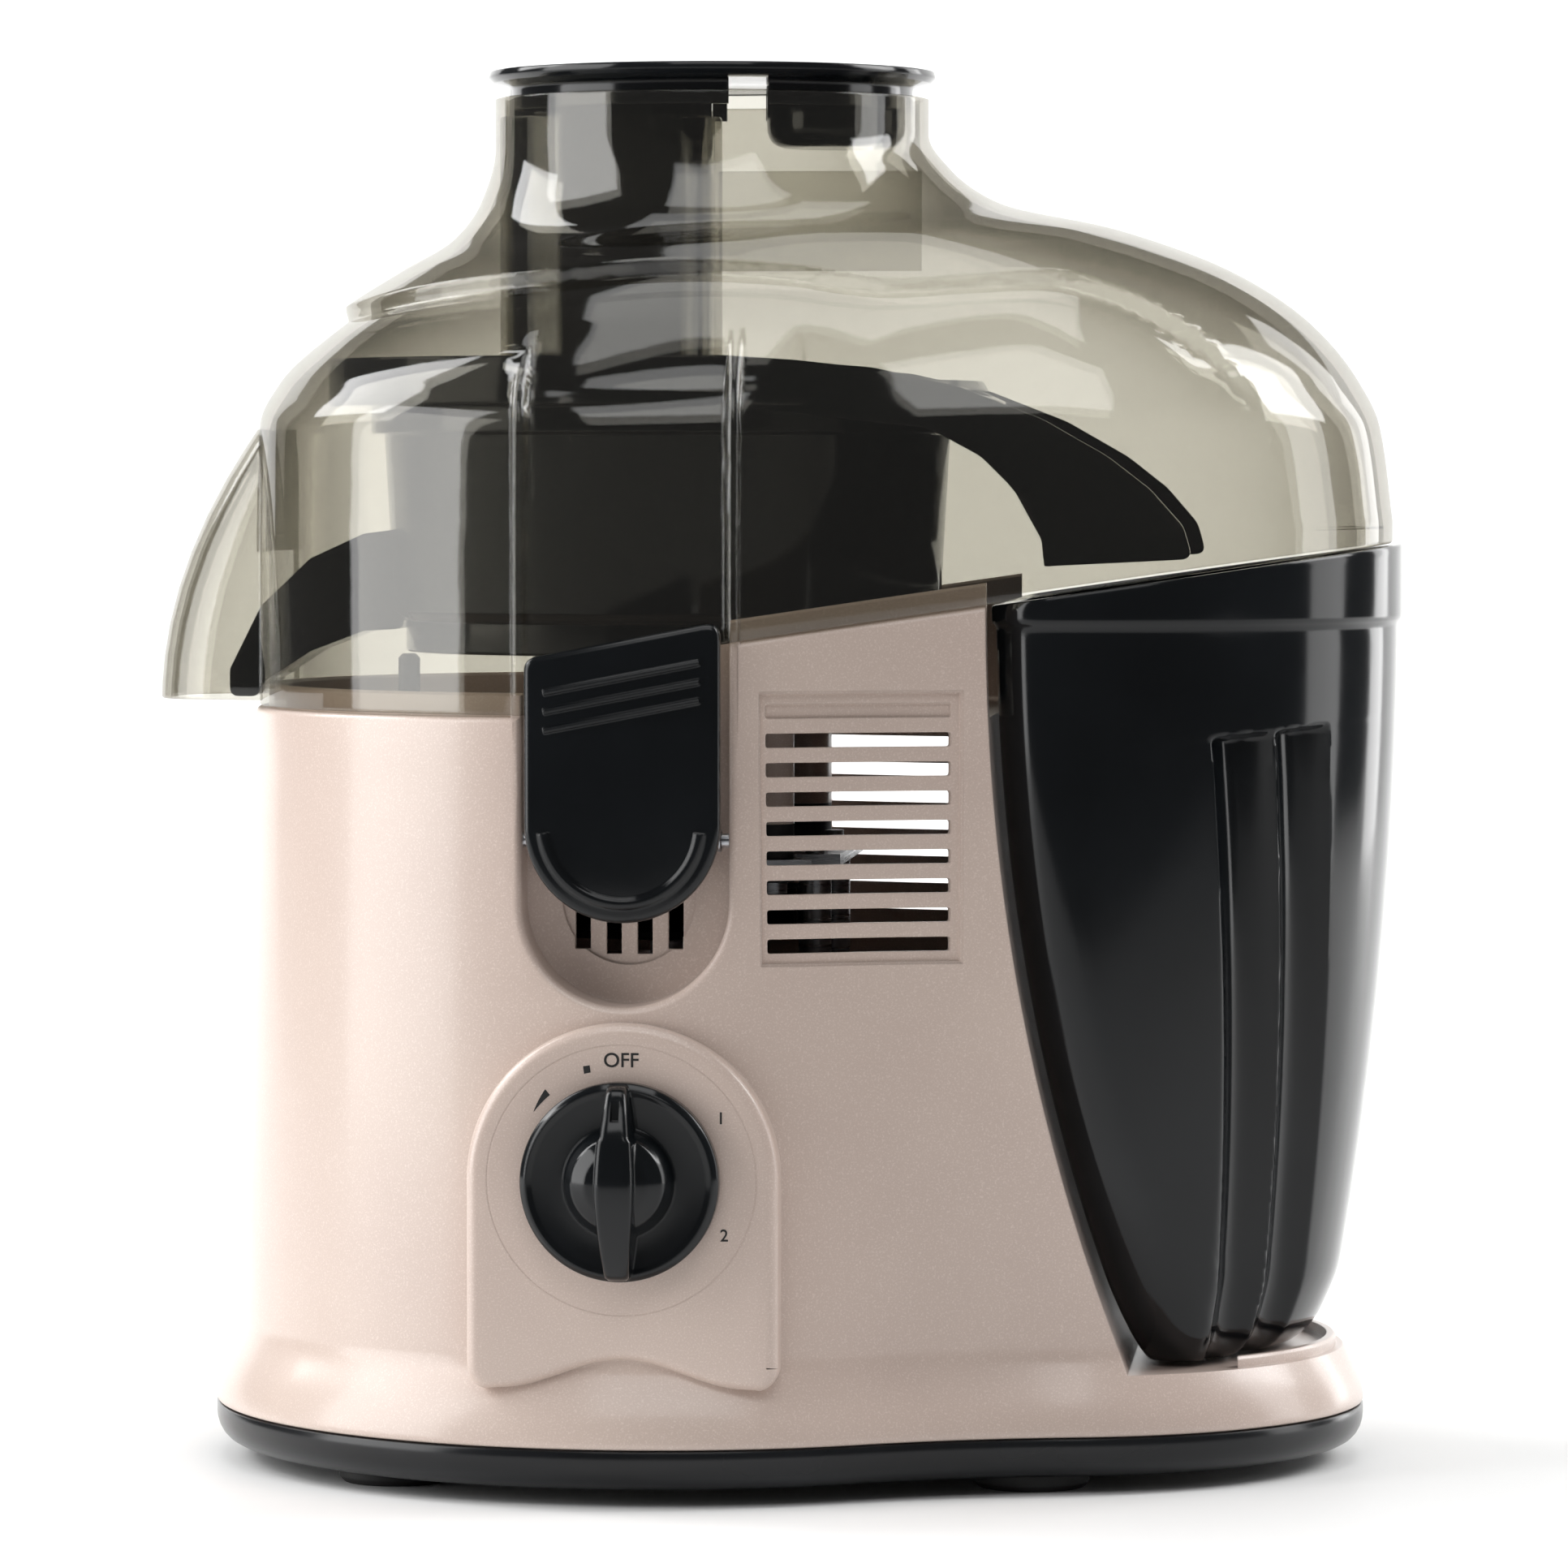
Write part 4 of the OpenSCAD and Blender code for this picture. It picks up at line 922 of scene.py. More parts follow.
def container():
    rows = [foot_row(g, z) for g, z in (
        (-12.2, 26.0), (-10.4, 26.2), (-8.4, 27.0), (-6.4, 28.4), (-4.6, 30.3), (-3.1, 32.6),
        (-1.9, 35.2), (-1.0, 38), (-0.4, 40.6), (-0.1, 43), (0, 46))]
    for z in list(np.linspace(50, 152, 30)) + list(np.linspace(153, 166, 30)):
        rows.append(bin_row(0, z))
    rows += [bin_row(g, z) for g, z in (
        (0, 168), (0, 174), (0, 180), (0, 183.6), (0.1, 184.4), (0.5, 185.1), (0.9, 185.6), (1, 186.4))]
    rows += [bin_row(1, LOBE_TOP_Z, under) for under in (2.2, 0.5)]
    rows += [bin_row(0.75, LOBE_TOP_Z, 0.1), bin_row(0.2, LOBE_TOP_Z, 0)]
    rows += [bin_row(-1.0, LOBE_TOP_Z, 0), bin_row(-1.6, LOBE_TOP_Z, 0.6)]
    for z in (183, 167, 164.4, 162.8, 161.4, 160, 158, 152, 120, 90, 60, 46):
        rows.append(bin_row(-BIN_WALL, z))
    rows += [bin_row(-4, 36), bin_row(-7, 31), bin_row(-11, 28.4)]
    return loft("pulp_bin", rows)


# ---- Lid ----

LID_LEVELS = np.array([
    [-91, 160.4, 91, 205, 207, 0],
    [-90.2, 157.4, 90.2, 228, 228, 0.02],
    [-86, 152.5, 86, 237, 238, 0.06],
    [-78, 143, 79, 246, 249.5, 0.15],
    [-69, 127, 71, 254, 260.5, 0.3],
    [-58, 100, 62, 261.5, 270.5, 0.55],
    [-47, 74, 53.5, 268.5, 276.5, 0.8],
    [-41, 63, 50, 277, 284, 0.95],
    [-37.9, 57.9, 47.9, 289, 292, 1],
    [-37.9, 57.9, 47.9, 299.2, 299.2, 1],
])
RIDGE = np.array([
    (-95, 250), (-71, 252.3), (-50, 256), (-26, 258.8), (12, 261.4), (32, 260.4), (44, 258.4),
    (54, 257.4), (68, 258.2), (86.7, 259.2), (100, 256), (114.6, 248.6), (127.7, 237.3), (140, 222),
])


def smooth_curve(xs, ys, at):
    """Monotone cubic through the points."""
    xs, ys, at = np.asarray(xs, float), np.asarray(ys, float), np.asarray(at, float)
    steps = np.diff(xs)
    slopes = np.diff(ys) / steps
    tangents = np.zeros_like(ys)
    tangents[0], tangents[-1] = slopes[0], slopes[-1]
    for i in range(1, len(ys) - 1):
        if slopes[i - 1] * slopes[i] > 0:
            a, b = 2 * steps[i] + steps[i - 1], steps[i] + 2 * steps[i - 1]
            tangents[i] = (a + b) / (a / slopes[i - 1] + b / slopes[i])
    k = np.clip(np.searchsorted(xs, at) - 1, 0, len(steps) - 1)
    h = steps[k]
    t = np.clip((at - xs[k]) / h, 0, 1)
    return (
        (2 * t**3 - 3 * t**2 + 1) * ys[k] + (t**3 - 2 * t**2 + t) * h * tangents[k]
        + (-2 * t**3 + 3 * t**2) * ys[k + 1] + (t**3 - t**2) * h * tangents[k + 1]
    )


def lid_angles(a):
    """Angles round the lid's big circle, with extra ones at the two pairs of ribs."""
    angles = set(np.round(np.linspace(a, 2 * pi - a, 121), 5))
    for centre in (90, 270):
        for side in (-1, 1):
            middle = radians(centre) + side * asin(RIB_X / LID_R)
            angles |= set(np.round(middle + np.linspace(-0.035, 0.035, 13), 5))
    return sorted(angles)


def lid_plan():
    return figure_of_eight(LID_R, LID_LOBE_R, LID_LOBE_X, WAIST_R, lid_angles, 17, 96)


def level_row(base, level, thin=0.0, drop=0.0):
    """The ring of one level of the lid: figure of eight below, circle at the neck."""
    left0, width0 = -LID_R, LID_LOBE_X + LID_LOBE_R + LID_R
    u = (base[:, 0] - left0) / width0
    side = np.where(base[:, 1] < 0, -1.0, 1.0)
    disc = side * np.sqrt(np.maximum(0, 1 - (2 * u - 1) ** 2))
    y = (1 - level[5]) * base[:, 1] / LID_R + level[5] * disc
    x = level[0] + thin + u * (level[1] - level[0] - 2 * thin)
    z = level[3] + u * (level[4] - level[3]) - drop
    return np.stack([x, (level[2] - thin) * y, z], axis=1)


def lid_levels(count):
    """Rows from the straight wall's top to the neck's rim, evenly spaced along the surface."""
    step = np.hypot(np.diff(LID_LEVELS[:, 2]), np.diff(LID_LEVELS[:, 3:5].mean(axis=1)))
    run = np.concatenate([[0], np.cumsum(step)])
    around_ridge = np.interp((234.0, 268.0), LID_LEVELS[:, 3:5].mean(axis=1), run)
    spots = np.interp(np.linspace(0, 1, count), (0, 0.14, 0.82, 1), (0, *around_ridge, run[-1]))
    return np.stack([smooth_curve(run, LID_LEVELS[:, i], spots) for i in range(6)], axis=1)


def ridge_step(x, z):
    """Outward offset round the shoulder line: proud above it and drawn in below it."""
    line = smooth_curve(RIDGE[:, 0], RIDGE[:, 1], x)
    up = z - line
    fade = np.clip((x + 88) / 12, 0, 1) * np.clip((134 - x) / 14, 0, 1)
    t = np.clip(up / 1.1 + 0.5, 0, 1)
    step = t * t * (3 - 2 * t)
    above = 1.5 * step * np.exp(-np.maximum(up, 0) / 9)
    below = -1.7 * (1 - step) * np.exp(-np.maximum(-up, 0) / 9)
    return fade * (above + below)


def rib_height(x, z):
    """Proud rounded ribs either side of the latch channel, which fade into the shoulder."""
    near = np.abs(np.abs(x) - RIB_X)
    bump = 1.7 * np.sqrt(np.clip(1 - (near / 1.5) ** 2, 0, 1))
    channel = -1.9 * np.clip((RIB_X - 0.6 - np.abs(x)) / 1.2, 0, 1) * np.clip(1 - (np.abs(x) / 34) ** 2, 0, 1)
    fade = np.clip((250 - z) / 14, 0, 1)
    return (bump + channel) * fade


def grid_normals(grid):
    """Outward normals of rows of closed rings, from their neighbours."""
    around = np.roll(grid, -1, axis=1) - np.roll(grid, 1, axis=1)
    up = np.gradient(grid, axis=0)
    normal = np.cross(around, up)
    return normal / np.maximum(np.linalg.norm(normal, axis=2, keepdims=True), 1e-9)


def lid_surface(count, thin, drop, detail):
    base = lid_plan()
    rows = []
    wall = LID_LEVELS[0]
    low = top_edge(base[:, 0]) + GAP
    for share in np.linspace(0, 1, 9 if detail else 5)[:-1]:
        row = level_row(base, wall, thin)
        row[:, 2] = low + (row[:, 2] - low) * share
        rows.append(row)
    for level in lid_levels(count):
        last = level[3] > 299
        rows.append(level_row(base, level, thin, -1.0 if last and thin else drop))
    grid = np.array(rows)
    normal = grid_normals(grid)
    x, z = grid[:, :, 0], grid[:, :, 2]
    offset = ridge_step(x, z)
    front = np.abs(grid[:, :, 1]) > 40
    offset = offset + np.where(front, rib_height(x, z), 0) * (1.0 if detail else 0.9)
    return grid + normal * offset[:, :, None]


def hood_row(z, grow):
    lean = (max(0, z - EDGE_Z) / 62) ** 2 * HOOD_LEAN
    a, b = HOOD_A - lean + grow, HOOD_B + grow
    result = []
    for t in np.linspace(0, 2 * pi, 72, endpoint=False):
        c, s = cos(t), sin(t)
        x = HOOD_X + a * np.sign(c) * abs(c) ** 0.6
        result.append((x, b * np.sign(s) * abs(s) ** 0.6, z))
    return result


def lid():
    outer = lid_surface(150, 0, 0, True)
    inner = lid_surface(90, LID_WALL, 1.8, False)
    rim = outer[-1].copy()
    rim[:, 2] = NECK_Z - 0.25
    inner_rim = inner[-1].copy()
    inner_rim[:, 2] = NECK_Z
    middle = (rim + inner_rim) / 2
    middle[:, 2] = NECK_Z
    foot_out = outer[0].copy()
    foot_out[:, 2] += 0.5
    foot_mid = outer[0] + (inner[0] - outer[0]) * 0.2
    foot_in = outer[0] + (inner[0] - outer[0]) * 0.8
    rows = [foot_mid, foot_out, *outer[1:], rim, middle, inner_rim, *inner[::-1][1:], foot_in]
    shell = loft("lid_shell", rows, wrap=True)
    heights = [167.5, 171, 177, 184, 192, 200, 208, 216, 222, 227]
    opening = loft("opening", [hood_row(z, -LID_WALL) for z in [140] + heights[:6]])
    boolean(opening, block("trim", (-140, -40, 130), (-76, 40, 206)), "INTERSECT")
    boolean(shell, opening)
    skin = [hood_row(z, -0.4 if z == heights[0] else 0) for z in heights]
    skin.insert(1, hood_row(heights[0] + 0.5, 0))
    hood = loft("hood", skin + [hood_row(z, -LID_WALL) for z in heights[::-1]], wrap=True)
    low = level_row(lid_plan(), LID_LEVELS[0], 0.3)
    low[:, 2] = 140
    barrel = loft("barrel", [low] + [level_row(lid_plan(), level, 0.3) for level in lid_levels(24)[:16]])
    boolean(hood, barrel)
    tube_out, tube_top = TUBE_R + TUBE_WALL, NECK_Z - 4
    tube_profile = [(TUBE_R, TUBE_LOW), (tube_out, TUBE_LOW), (tube_out, tube_top), (TUBE_R, tube_top)]
    tube = lathe("tube", rounded(tube_profile, 0.6, 3), TUBE_X, 0, 120)
    web = block("web", (TUBE_X + TUBE_R + 1, -1, 262), (NECK_X + NECK_R - 1.5, 1, 284))
    return join("clear_lid", [shell, hood, tube, web])


# ---- Pusher ----


def pusher():
    skirt, flange = NECK_R - LID_WALL - 1.5, 49.5
    cap_profile = [
        (0, TOP_Z - 3), (skirt - 2, TOP_Z - 3), (skirt - 2, NECK_Z - 3), (skirt, NECK_Z - 3),
        (skirt, TOP_Z - 3.6), (flange - 1.2, TOP_Z - 2.7), (flange, TOP_Z - 1.5), (flange - 0.3, TOP_Z - 0.2),
        (flange - 1.4, TOP_Z), (flange - 3.4, TOP_Z - 1), (0, TOP_Z - 1),
    ]
    radii = [0, 0.4, 0.3, 0.3, 1.2, 0.5, 0.5, 0.4, 0.5, 0.8, 0]
    cap = lathe("cap", rounded(cap_profile, radii, 4), NECK_X, 0, 160)
    plunger = TUBE_R - 0.5
    boolean(cap, rod("mouth", (TUBE_X, 0, TOP_Z - 8), (TUBE_X, 0, TOP_Z + 5), plunger - 2, 96))
    boolean(cap, block("notch", (17.6, -60, NECK_Z - 6), (26.2, 0, TOP_Z - 3.2)))
    boolean(cap, block("notch", (9.2, 0, NECK_Z - 6), (18.2, 60, TOP_Z - 3.2)))
    tube = lathe("plunger", rounded([
        (0, TUBE_LOW + 6), (plunger, TUBE_LOW + 6), (plunger, TOP_Z - 2), (plunger - 2, TOP_Z - 2),
        (plunger - 2, TUBE_LOW + 8.5), (0, TUBE_LOW + 8.5)], [0, 1.5, 0.2, 0.2, 1, 0], 4), TUBE_X, 0, 120)
    low = NECK_Z - 11
    cup = lathe("cup", rounded([
        (0, low), (15.4, low), (15.4, TOP_Z - 2.5), (13.4, TOP_Z - 2.5), (13.4, low + 2), (0, low + 2)],
        [0, 5, 0.2, 0.2, 3.5, 0], 6), NECK_X + 27.6, 0, 96)
    return join("pusher_body", [cap, tube, cup])


# ---- Juice collector ----

def collector():
    foot_z = DECK_Z + GAP
    bowl_profile = [
        (18, foot_z), (20, foot_z), (20, 178.8), (28, 178.8), (28, foot_z), (30, foot_z), (30, 178),
        (58, 178), (58, 185), (60.5, 187), (62.7, 226), (65.6, 226), (65.6, 232), (75, 232), (75, 242.5),
        (73, 242.5), (73, 234), (63.6, 234), (63.6, 228), (60.6, 228), (58.4, 189), (56, 187), (56, 181),
        (20, 181), (20, 200), (18, 200)]
    bowl = lathe("bowl", rounded(bowl_profile, 0.7, 3), 0, 0, 180)
    outside = rounded([
        (-58, 205), (-66, 204), (-78, 198.5), (-89, 188), (-96, 174), (-96, 168), (-90, 168),
        (-88, 171.5), (-78, 178), (-66, 182.5), (-57, 183)], 2.0, 4)
    within = rounded([
        (-50, 203), (-66, 202), (-77, 196.7), (-87.4, 186.9), (-94, 173.5), (-94, 160), (-91.5, 168),
        (-89.3, 172.7), (-78.6, 180), (-66, 184.5), (-50, 185)], 1.0, 3)
    spout = prism("spout", outside, 14)
    boolean(spout, prism("within", within, 12))
    boolean(spout, rod("round", (0, 0, 150), (0, 0, 250), 59, 160))
    boolean(bowl, spout, "UNION")
    boolean(bowl, prism("mouth", [(-64, 186.5), (-50, 186.5), (-50, 202.5), (-64, 201)], 12))
    rim_cut = [(17, 242.6), (34, 241.5), (50, 239.8), (60, 237.8)]
    rim_cut += [(68, 235.6), (80, 231), (80, 260), (17, 260)]
    boolean(bowl, prism("rim_cut", rim_cut, 90))
    fence = loft("fence", [ring(-FENCE_IN, z) for z in (190, 250)])
    boolean(fence, loft("fence_in", [ring(-FENCE_IN - 2, z) for z in (180, 260)]))
    boolean(fence, rod("round", (0, 0, 150), (0, 0, 270), 74, 160))
    side = rounded([
        (17, 242.5), (50, 240), (68, 236), (86, 229), (100, 221), (109, 214), (116, 206), (118, 199),
        (86.5, 197.5), (86, 203), (82, 212), (73, 221), (62, 227), (17, 232)],
        [0, 20, 20, 20, 20, 12, 6, 2, 2, 6, 10, 10, 12, 0], 5)
    boolean(fence, prism("side", side[::-1], 90), "INTERSECT")
    slope = loft("slope", [ring(-FENCE_IN - 1, z) for z in (190, 250)])
    plate = rounded([
        (60, 234), (72, 226), (82, 214.5), (88, 204), (88.5, 197.5), (86.5, 197.5), (86, 203),
        (80.4, 213.2), (71, 224.3), (60, 232)], [0, 6, 8, 5, 0.5, 0.5, 5, 8, 6, 0], 5)
    boolean(slope, prism("plate", plate, 90), "INTERSECT")
    boolean(slope, rod("round", (0, 0, 150), (0, 0, 270), 62, 160))
    return join("collector_body", [bowl, fence, slope])


# ---- Latches ----


def latch_outline():
    """Round foot, straight sides and a slanted top."""
    half = LATCH_HALF
    points = arc(0, LATCH_ROUND_Z, half, np.linspace(pi, 2 * pi, 49))
    top = [(half, 170), (half, 186.5), (-half, 178.5), (-half, 170)]
    return np.array(points + [tuple(p) for p in rounded(top, [0, 3.2, 3.2, 0], 6, closed=False)])


def latch():
    """Plate with three grip ribs, a thumb ledge and two lugs on the pin."""
    face, rib_half, ledge_r, lug_r, lug_w = -LATCH_Y - LATCH_T, 16.4, 16.6, 3.2, 6
    levels = [(0.5, -LATCH_Y), (0, -LATCH_Y - 0.4)] + edge_levels(-LATCH_Y, face, 1.5, 6)[1:]
    parts = [front_plate("plate", latch_outline(), levels)]
    for i in range(3):
        z = 174.6 - i * 4.0
        rise = rib_half * tan(radians(11))
        start, end = (-rib_half, face - 0.05, z - rise), (rib_half, face - 0.05, z + rise)
        parts.append(rod("grip_rib", start, end, 0.62, 24))
    angles = np.linspace(radians(186), radians(354), 57)
    path = [(x, face + 0.25, z) for x, z in arc(0, LATCH_ROUND_Z, ledge_r, angles)]
    section = [(1.3 * cos(t), sin(t)) for t in np.linspace(0, 2 * pi, 20, endpoint=False)]
    parts.append(sweep("ledge", path, section))
    for x in (-13, 7):
        lug = block("lug", (x, -LATCH_Y - 0.5, PIN_Z - lug_r), (x + lug_w, -PIN_Y, PIN_Z + lug_r))
        for past, radius, operation in ((0.01, lug_r, "UNION"), (2, PIN_R + 0.06, "DIFFERENCE")):
            ends = (x - past, -PIN_Y, PIN_Z), (x + lug_w + past, -PIN_Y, PIN_Z)
            boolean(lug, rod("eye", *ends, radius, 48), operation)
        parts.append(lug)
    return join("latch_front_body", parts)


# ---- Dial ----


def front_lathe(name, profile, steps=120):
    """A closed profile of (radius, reach) turned round the dial's axis."""
    rows = []
    for r, reach in np.asarray(profile, float):
        rows.append([
            (r * cos(t), -PANEL_Y - reach, KNOB_Z + r * sin(t))
            for t in np.linspace(0, 2 * pi, steps, endpoint=False)])
    return loft(name, rows, wrap=True)


def knob():
    disc = front_lathe("disc", rounded([
        (0, 0.6), (KNOB_R - 0.6, 0.6), (KNOB_R, 1.2), (KNOB_R, 4.6), (KNOB_R - 1.3, 6.0), (KNOB_R - 2.6, 5.5),
        (11.8, 5.2), (11.2, 7.4), (9.6, 10.0), (6.6, 12.2), (3, 13.2), (0, 13.4)],
        [0, 0.3, 0.3, 1.0, 0.7, 0.6, 0.4, 2.4, 3.0, 3.4, 3.0, 0], 6))
    rows = []
    for v in np.linspace(-20.3, 20.3, 61):
        share = abs(v) / 20.3
        half = 4.7 * (1 - 0.40 * share**1.6)
        if v > 9.5:
            half -= 0.5 * min(1, (v - 9.5) / 0.7)
        top = sqrt(32 * 32 - v * v) - 32 + KNOB_REACH
        end = min(1, (20.35 - abs(v)) / 1.2)
        top -= 1.6 * (1 - sqrt(max(0, 1 - (1 - end) ** 2)))
        half *= 0.72 + 0.28 * sqrt(max(0, 1 - (1 - end) ** 2))
        waist = half * 0.86
        rows.append([
            (x, -PANEL_Y - reach, KNOB_Z + v) for x, reach in rounded(
                [(-half, 1.0), (half, 1.0), (waist, top), (-waist, top)], [0.1, 0.1, 1.7, 1.7], 5)])
    bar = loft("bar", rows)
    boolean(bar, block("mark", (-0.9, -PANEL_Y - 16.0, KNOB_Z + 13.5), (0.9, -PANEL_Y - 11.6, KNOB_Z + 18.6)))
    return join("dial_knob", [disc, bar])


def flat_mark(name, outline2d):
    """A thin printed shape just proud of the panel."""
    rows = [[(x, -PANEL_Y - lift, KNOB_Z + v) for x, v in outline2d] for lift in (-0.05, 0.04)]
    return loft(name, rows)


def lettering(text, angle, radius, size):
    """Plain dial lettering as a thin solid, upright, centred at an angle from the top."""
    curve = bpy.data.curves.new("mark_" + text, "FONT")
    curve.body = text
    curve.size = size * MM
    curve.extrude = 0.04 * MM
    curve.offset = 0.00004
    curve.align_x = "CENTER"
    curve.align_y = "CENTER"
    curve.resolution_u = 6
    holder = bpy.data.objects.new("mark_" + text, curve)
    bpy.context.scene.collection.objects.link(holder)
    graph = bpy.context.evaluated_depsgraph_get()
    mesh = bpy.data.meshes.new_from_object(holder.evaluated_get(graph))
    bpy.data.objects.remove(holder)
    x, v = radius * sin(radians(angle)), radius * cos(radians(angle))
    place = Matrix.Translation(
        (AXIS[0] + x * MM, AXIS[1] - (PANEL_Y + 0.02) * MM, (KNOB_Z + v) * MM)
    ) @ Matrix.Rotation(pi / 2, 4, "X")
    mesh.transform(place)
    obj = bpy.data.objects.new("mark_" + text, mesh)
    bpy.context.scene.collection.objects.link(obj)
    return obj


def dial_marks():
    marks = [lettering("OFF", 0, 25.2, 4.3), lettering("1", 58, 24.8, 3.6), lettering("2", 118, 24.6, 3.6)]
    t = radians(-17)
    x, v = 24.4 * sin(t), 24.4 * cos(t)
    corners = ((-0.7, -0.9), (0.7, -0.6), (0.5, 0.9), (-0.9, 0.7))
    marks.append(flat_mark("square", [(x + across, v + up) for across, up in corners]))
    wedge = []
    for k in range(13):
        t = radians(-52 + k)
        wedge.append((23.4 * sin(t), 23.4 * cos(t)))
    for k in range(12, -1, -1):
        t = radians(-52 + k)
        r = 23.5 + 1.5 * (k / 12)
        wedge.append((r * sin(t), r * cos(t)))
    marks.append(flat_mark("wedge", wedge[::-1]))
    return join("dial_print", marks)


# ---- Assembly of the pieces ----

champagne = champagne_plastic("champagne_abs", rgb(202, 184, 173), rgb(195, 176, 166))
# painted shade: a dark copy of the champagne plastic, put on the motor bay's inner faces where shade falls
inside = champagne_plastic("champagne_painted_bay_shade", rgb(58, 50, 46), rgb(44, 38, 35), (0.5, 0.6))
gloss_black = black_plastic("black_abs", rgb(13, 15, 17), (0.08, 0.14))
pan_black = black_plastic("black_pan", rgb(18, 19, 21), (0.16, 0.24), grain=0.06)
nylon = black_plastic("black_nylon", rgb(24, 24, 25), (0.3, 0.42), grain=0.12)
smoke = smoke_material("smoke_clear", (0.81, 0.80, 0.762, 1), (0.42, 0.40, 0.35, 1), 0.006)
rubber = rubber_material("rubber")
steel = metal("steel", rgb(190, 192, 196), rgb(150, 152, 156))
copper = wound_copper("copper")
copper_bars = metal("commutator_copper", rgb(206, 120, 78), rgb(150, 80, 48), (0.2, 0.34))
brass = metal("brass", rgb(206, 176, 106), rgb(168, 136, 74))
lamination = laminated("lamination", rgb(150, 152, 156), rgb(78, 80, 84))
carbon = carbon_material("carbon")
sieve = sieve_material("sieve")
ink = ink_material("ink")

KEPT = [
    (steel, "base_screws bracket_upper bracket_lower motor_bolts mount_screws latch_pin_front"),
    (steel, "latch_pin_rear latch_spring_front latch_spring_rear interlock_spring motor_shaft"),
    (steel, "grater_disc switch_shaft"),
    (nylon, "cord_gland switch_body interlock_switch cooling_fan drive_coupling interlock_pin"),
    (brass, "bearing_upper bearing_lower brush_holders"),
    (copper, "field_coils armature_windings"),
    (lamination, "field_stack armature_core"),
    (rubber, "motor_mounts shaft_seal"),
    (gloss_black, "basket_hub basket_rim"),
    (carbon, "carbon_brushes"),
    (copper_bars, "commutator"),
    (sieve, "mesh_cone"),
]


def dress_kept_nodes():
    for material, names in KEPT:
        for name in names.split():
            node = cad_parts[name]
            if not node.material_slots:
                node.data.materials.append(material)
            for one in node.material_slots:
                one.material = material


def stage_floor():
    """Pale floor that curves up into a backdrop."""
    profile = [(-0.9, 0.0), (0.0, 0.0), (0.9, 0.0)]
    profile += [(0.9 + 0.6 * sin(t), 0.6 - 0.6 * cos(t)) for t in np.linspace(0, pi / 2, 24)[1:]]
    profile.append((1.5, 0.95))
    mesh = bpy.data.meshes.new("studio_floor")
    points, faces = [], []
    for y, z in profile:
        points += [(-1.4, y, z), (1.4, y, z)]
    for i in range(len(profile) - 1):
        faces.append((2 * i, 2 * i + 1, 2 * i + 3, 2 * i + 2))
    mesh.from_pydata(points, [], faces)
    obj = bpy.data.objects.new("studio_floor", mesh)
    bpy.context.scene.collection.objects.link(obj)
    for face in mesh.polygons:
        face.use_smooth = True
    mesh.materials.append(floor_material("floor_white"))


def area_light(name, place, aim, size, power):
    """A soft rectangular light in metres and watts, turned to its aim."""
    light = bpy.data.lights.new(name, "AREA")
    light.shape = "RECTANGLE"
    light.size, light.size_y = size
    light.energy = power
    obj = bpy.data.objects.new(name, light)
    obj.location = place
    obj.rotation_euler = (Vector(aim) - Vector(place)).to_track_quat("-Z", "Y").to_euler()
    bpy.context.scene.collection.objects.link(obj)
    return obj


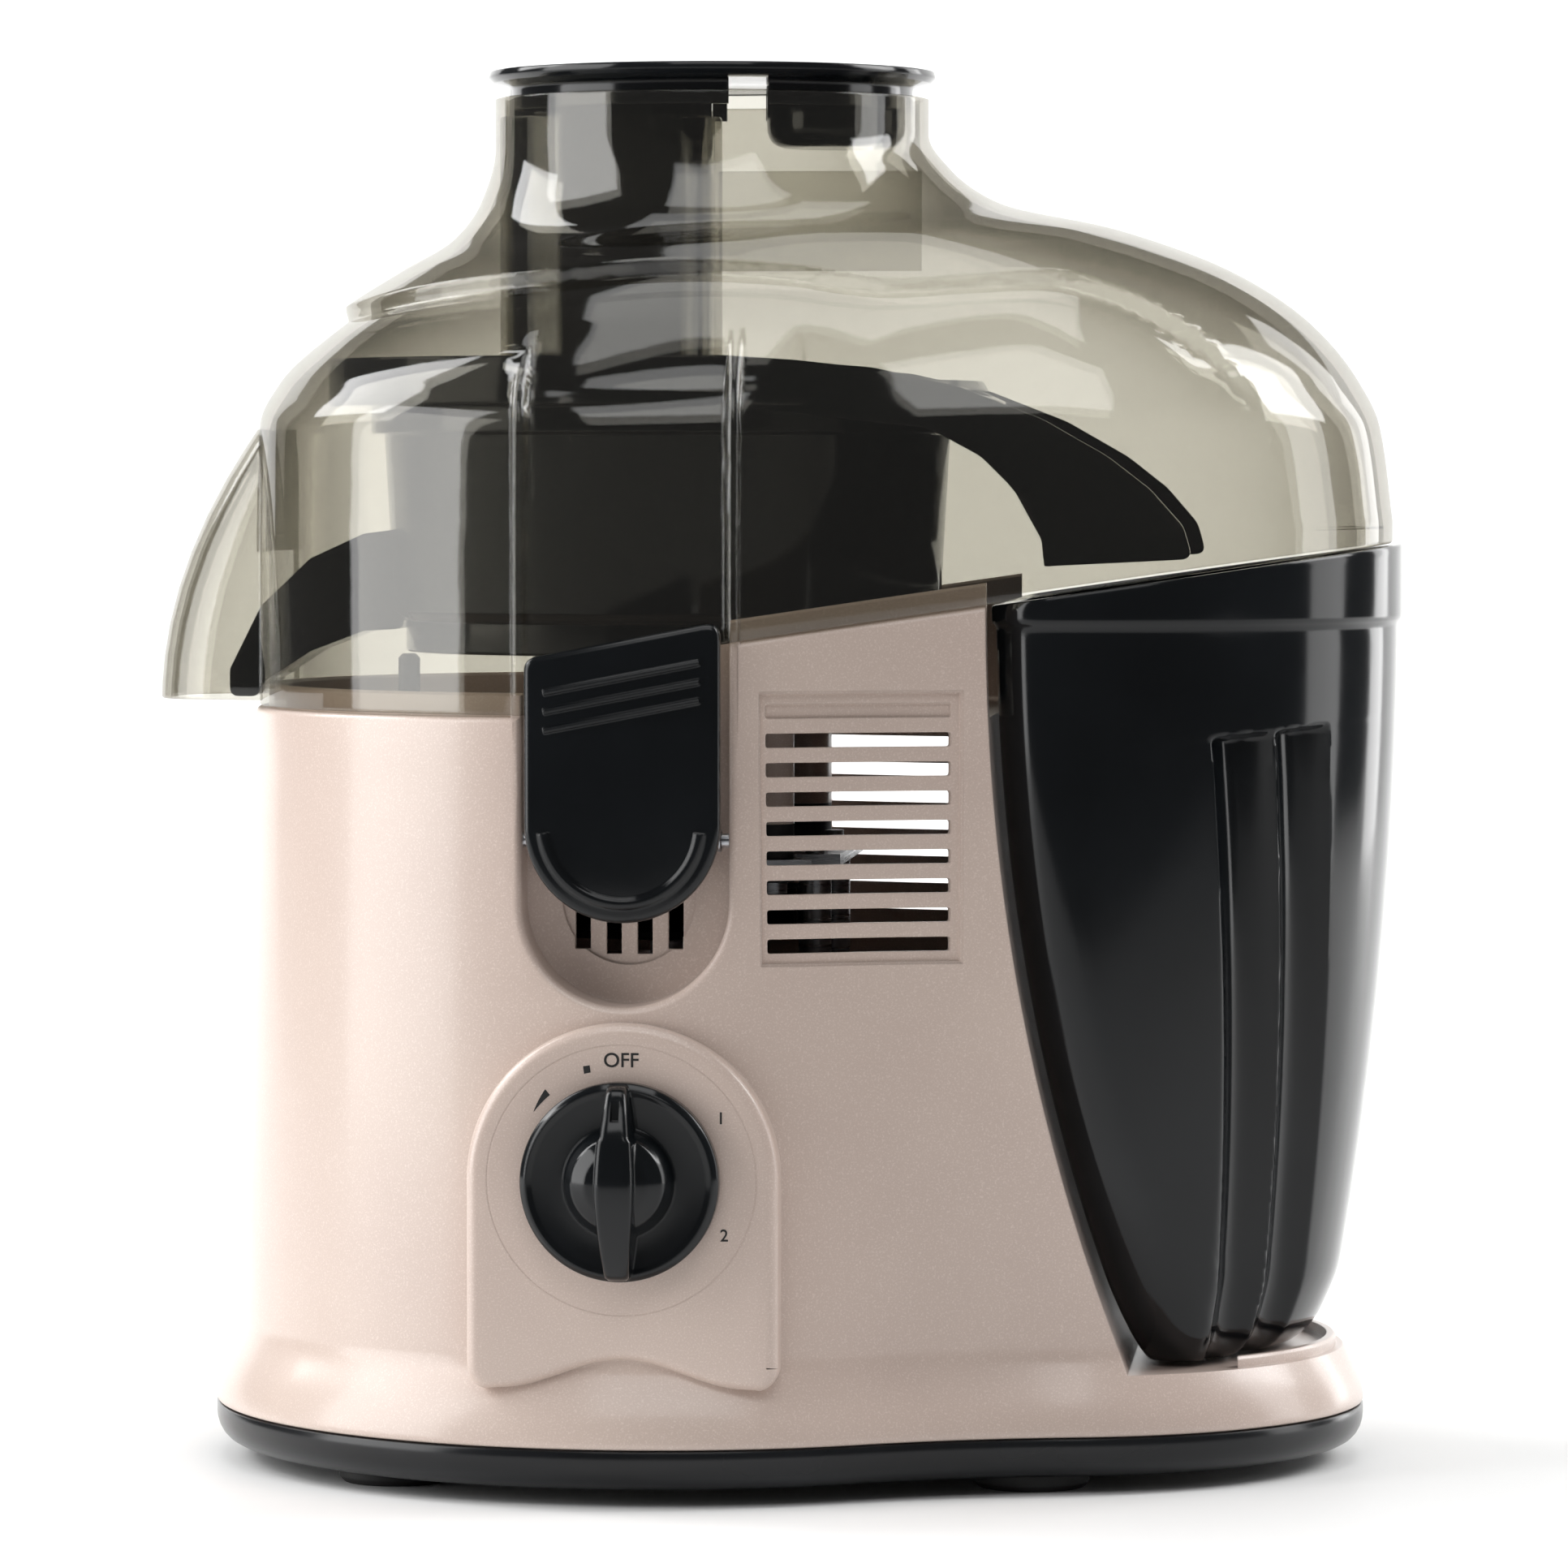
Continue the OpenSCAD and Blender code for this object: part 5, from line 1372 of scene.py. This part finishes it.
def lighting():
    world = bpy.data.worlds.new("studio")
    bpy.context.scene.world = world
    world.use_nodes = True
    tree = world.node_tree
    background = tree.nodes["Background"]
    background.inputs["Color"].default_value = (1, 1, 1, 1)
    strength = tree.nodes.new("ShaderNodeMapRange")
    strength.inputs["To Min"].default_value = 0.1
    strength.inputs["To Max"].default_value = 0.95
    seen = tree.nodes.new("ShaderNodeLightPath").outputs["Is Camera Ray"]
    tree.links.new(seen, strength.inputs["Value"])
    tree.links.new(strength.outputs["Result"], background.inputs["Strength"])
    middle = (0, 0, 0.16)
    area_light("key_left", (-1.25, -0.42, 0.5), middle, (0.95, 1.3), 18)
    area_light("fill_right", (1.2, 0.2, 0.5), middle, (0.4, 1.3), 5)
    area_light("rim_right", (0.9, 0.9, 0.5), middle, (0.3, 1.2), 4)
    area_light("front_high", (0.1, -1.3, 1.5), middle, (1.2, 0.7), 7)
    area_light("top", (0, -0.1, 1.5), middle, (0.9, 0.9), 6)
    area_light("backdrop_left", (-1.3, 0.5, 1.1), (-0.2, 1.5, 0.3), (1.2, 0.8), 22)
    area_light("backdrop_right", (1.3, 0.5, 1.1), (0.2, 1.5, 0.3), (1.2, 0.8), 22)


def camera():
    turn, dip = radians(5), radians(2.45)
    data = bpy.data.cameras.new("camera")
    data.sensor_width = 36
    data.lens = 173.3
    data.clip_end = 20
    obj = bpy.data.objects.new("camera", data)
    obj.location = Vector((171.8, -1667.4, 220)) * MM + Vector(AXIS)
    look = Vector((-sin(turn) * cos(dip), cos(turn) * cos(dip), -sin(dip)))
    obj.rotation_euler = look.to_track_quat("-Z", "Y").to_euler()
    bpy.context.scene.collection.objects.link(obj)
    bpy.context.scene.camera = obj


dress_kept_nodes()
shell = housing()
# paints shade on the housing's inner faces inside the motor bay
shell = paint_bay_shade(shell)
finish_piece(shell, "base", [champagne, inside], ["housing"], 35)
finish_piece(base_pan(), "base", pan_black, ["base_pan"])
for foot_name, (foot_x, foot_y) in FEET_AT.items():
    finish_piece(foot(foot_name, foot_x, foot_y), "base", rubber, [foot_name])
finish_piece(container(), "container", gloss_black, ["pulp_container"], 40)
finish_piece(lid(), "lid", smoke, ["lid", "feed_tube", "spout_hood"], 40)
finish_piece(pusher(), "pusher", gloss_black, ["pusher", "plunger"])
finish_piece(collector(), "collector", gloss_black, ["juice_collector"])
front = latch()
rear = mirrored(front, "latch_rear_body")
finish_piece(front, "front_latch", gloss_black, ["latch_front"])
finish_piece(rear, "rear_latch", gloss_black, ["latch_rear"])
finish_piece(knob(), "dial", gloss_black, ["knob"])
finish_piece(dial_marks(), "base", ink)

stage_floor()
lighting()
camera()
scene = bpy.context.scene
scene.view_settings.view_transform = "Standard"
scene.cycles.transparent_max_bounces = 40
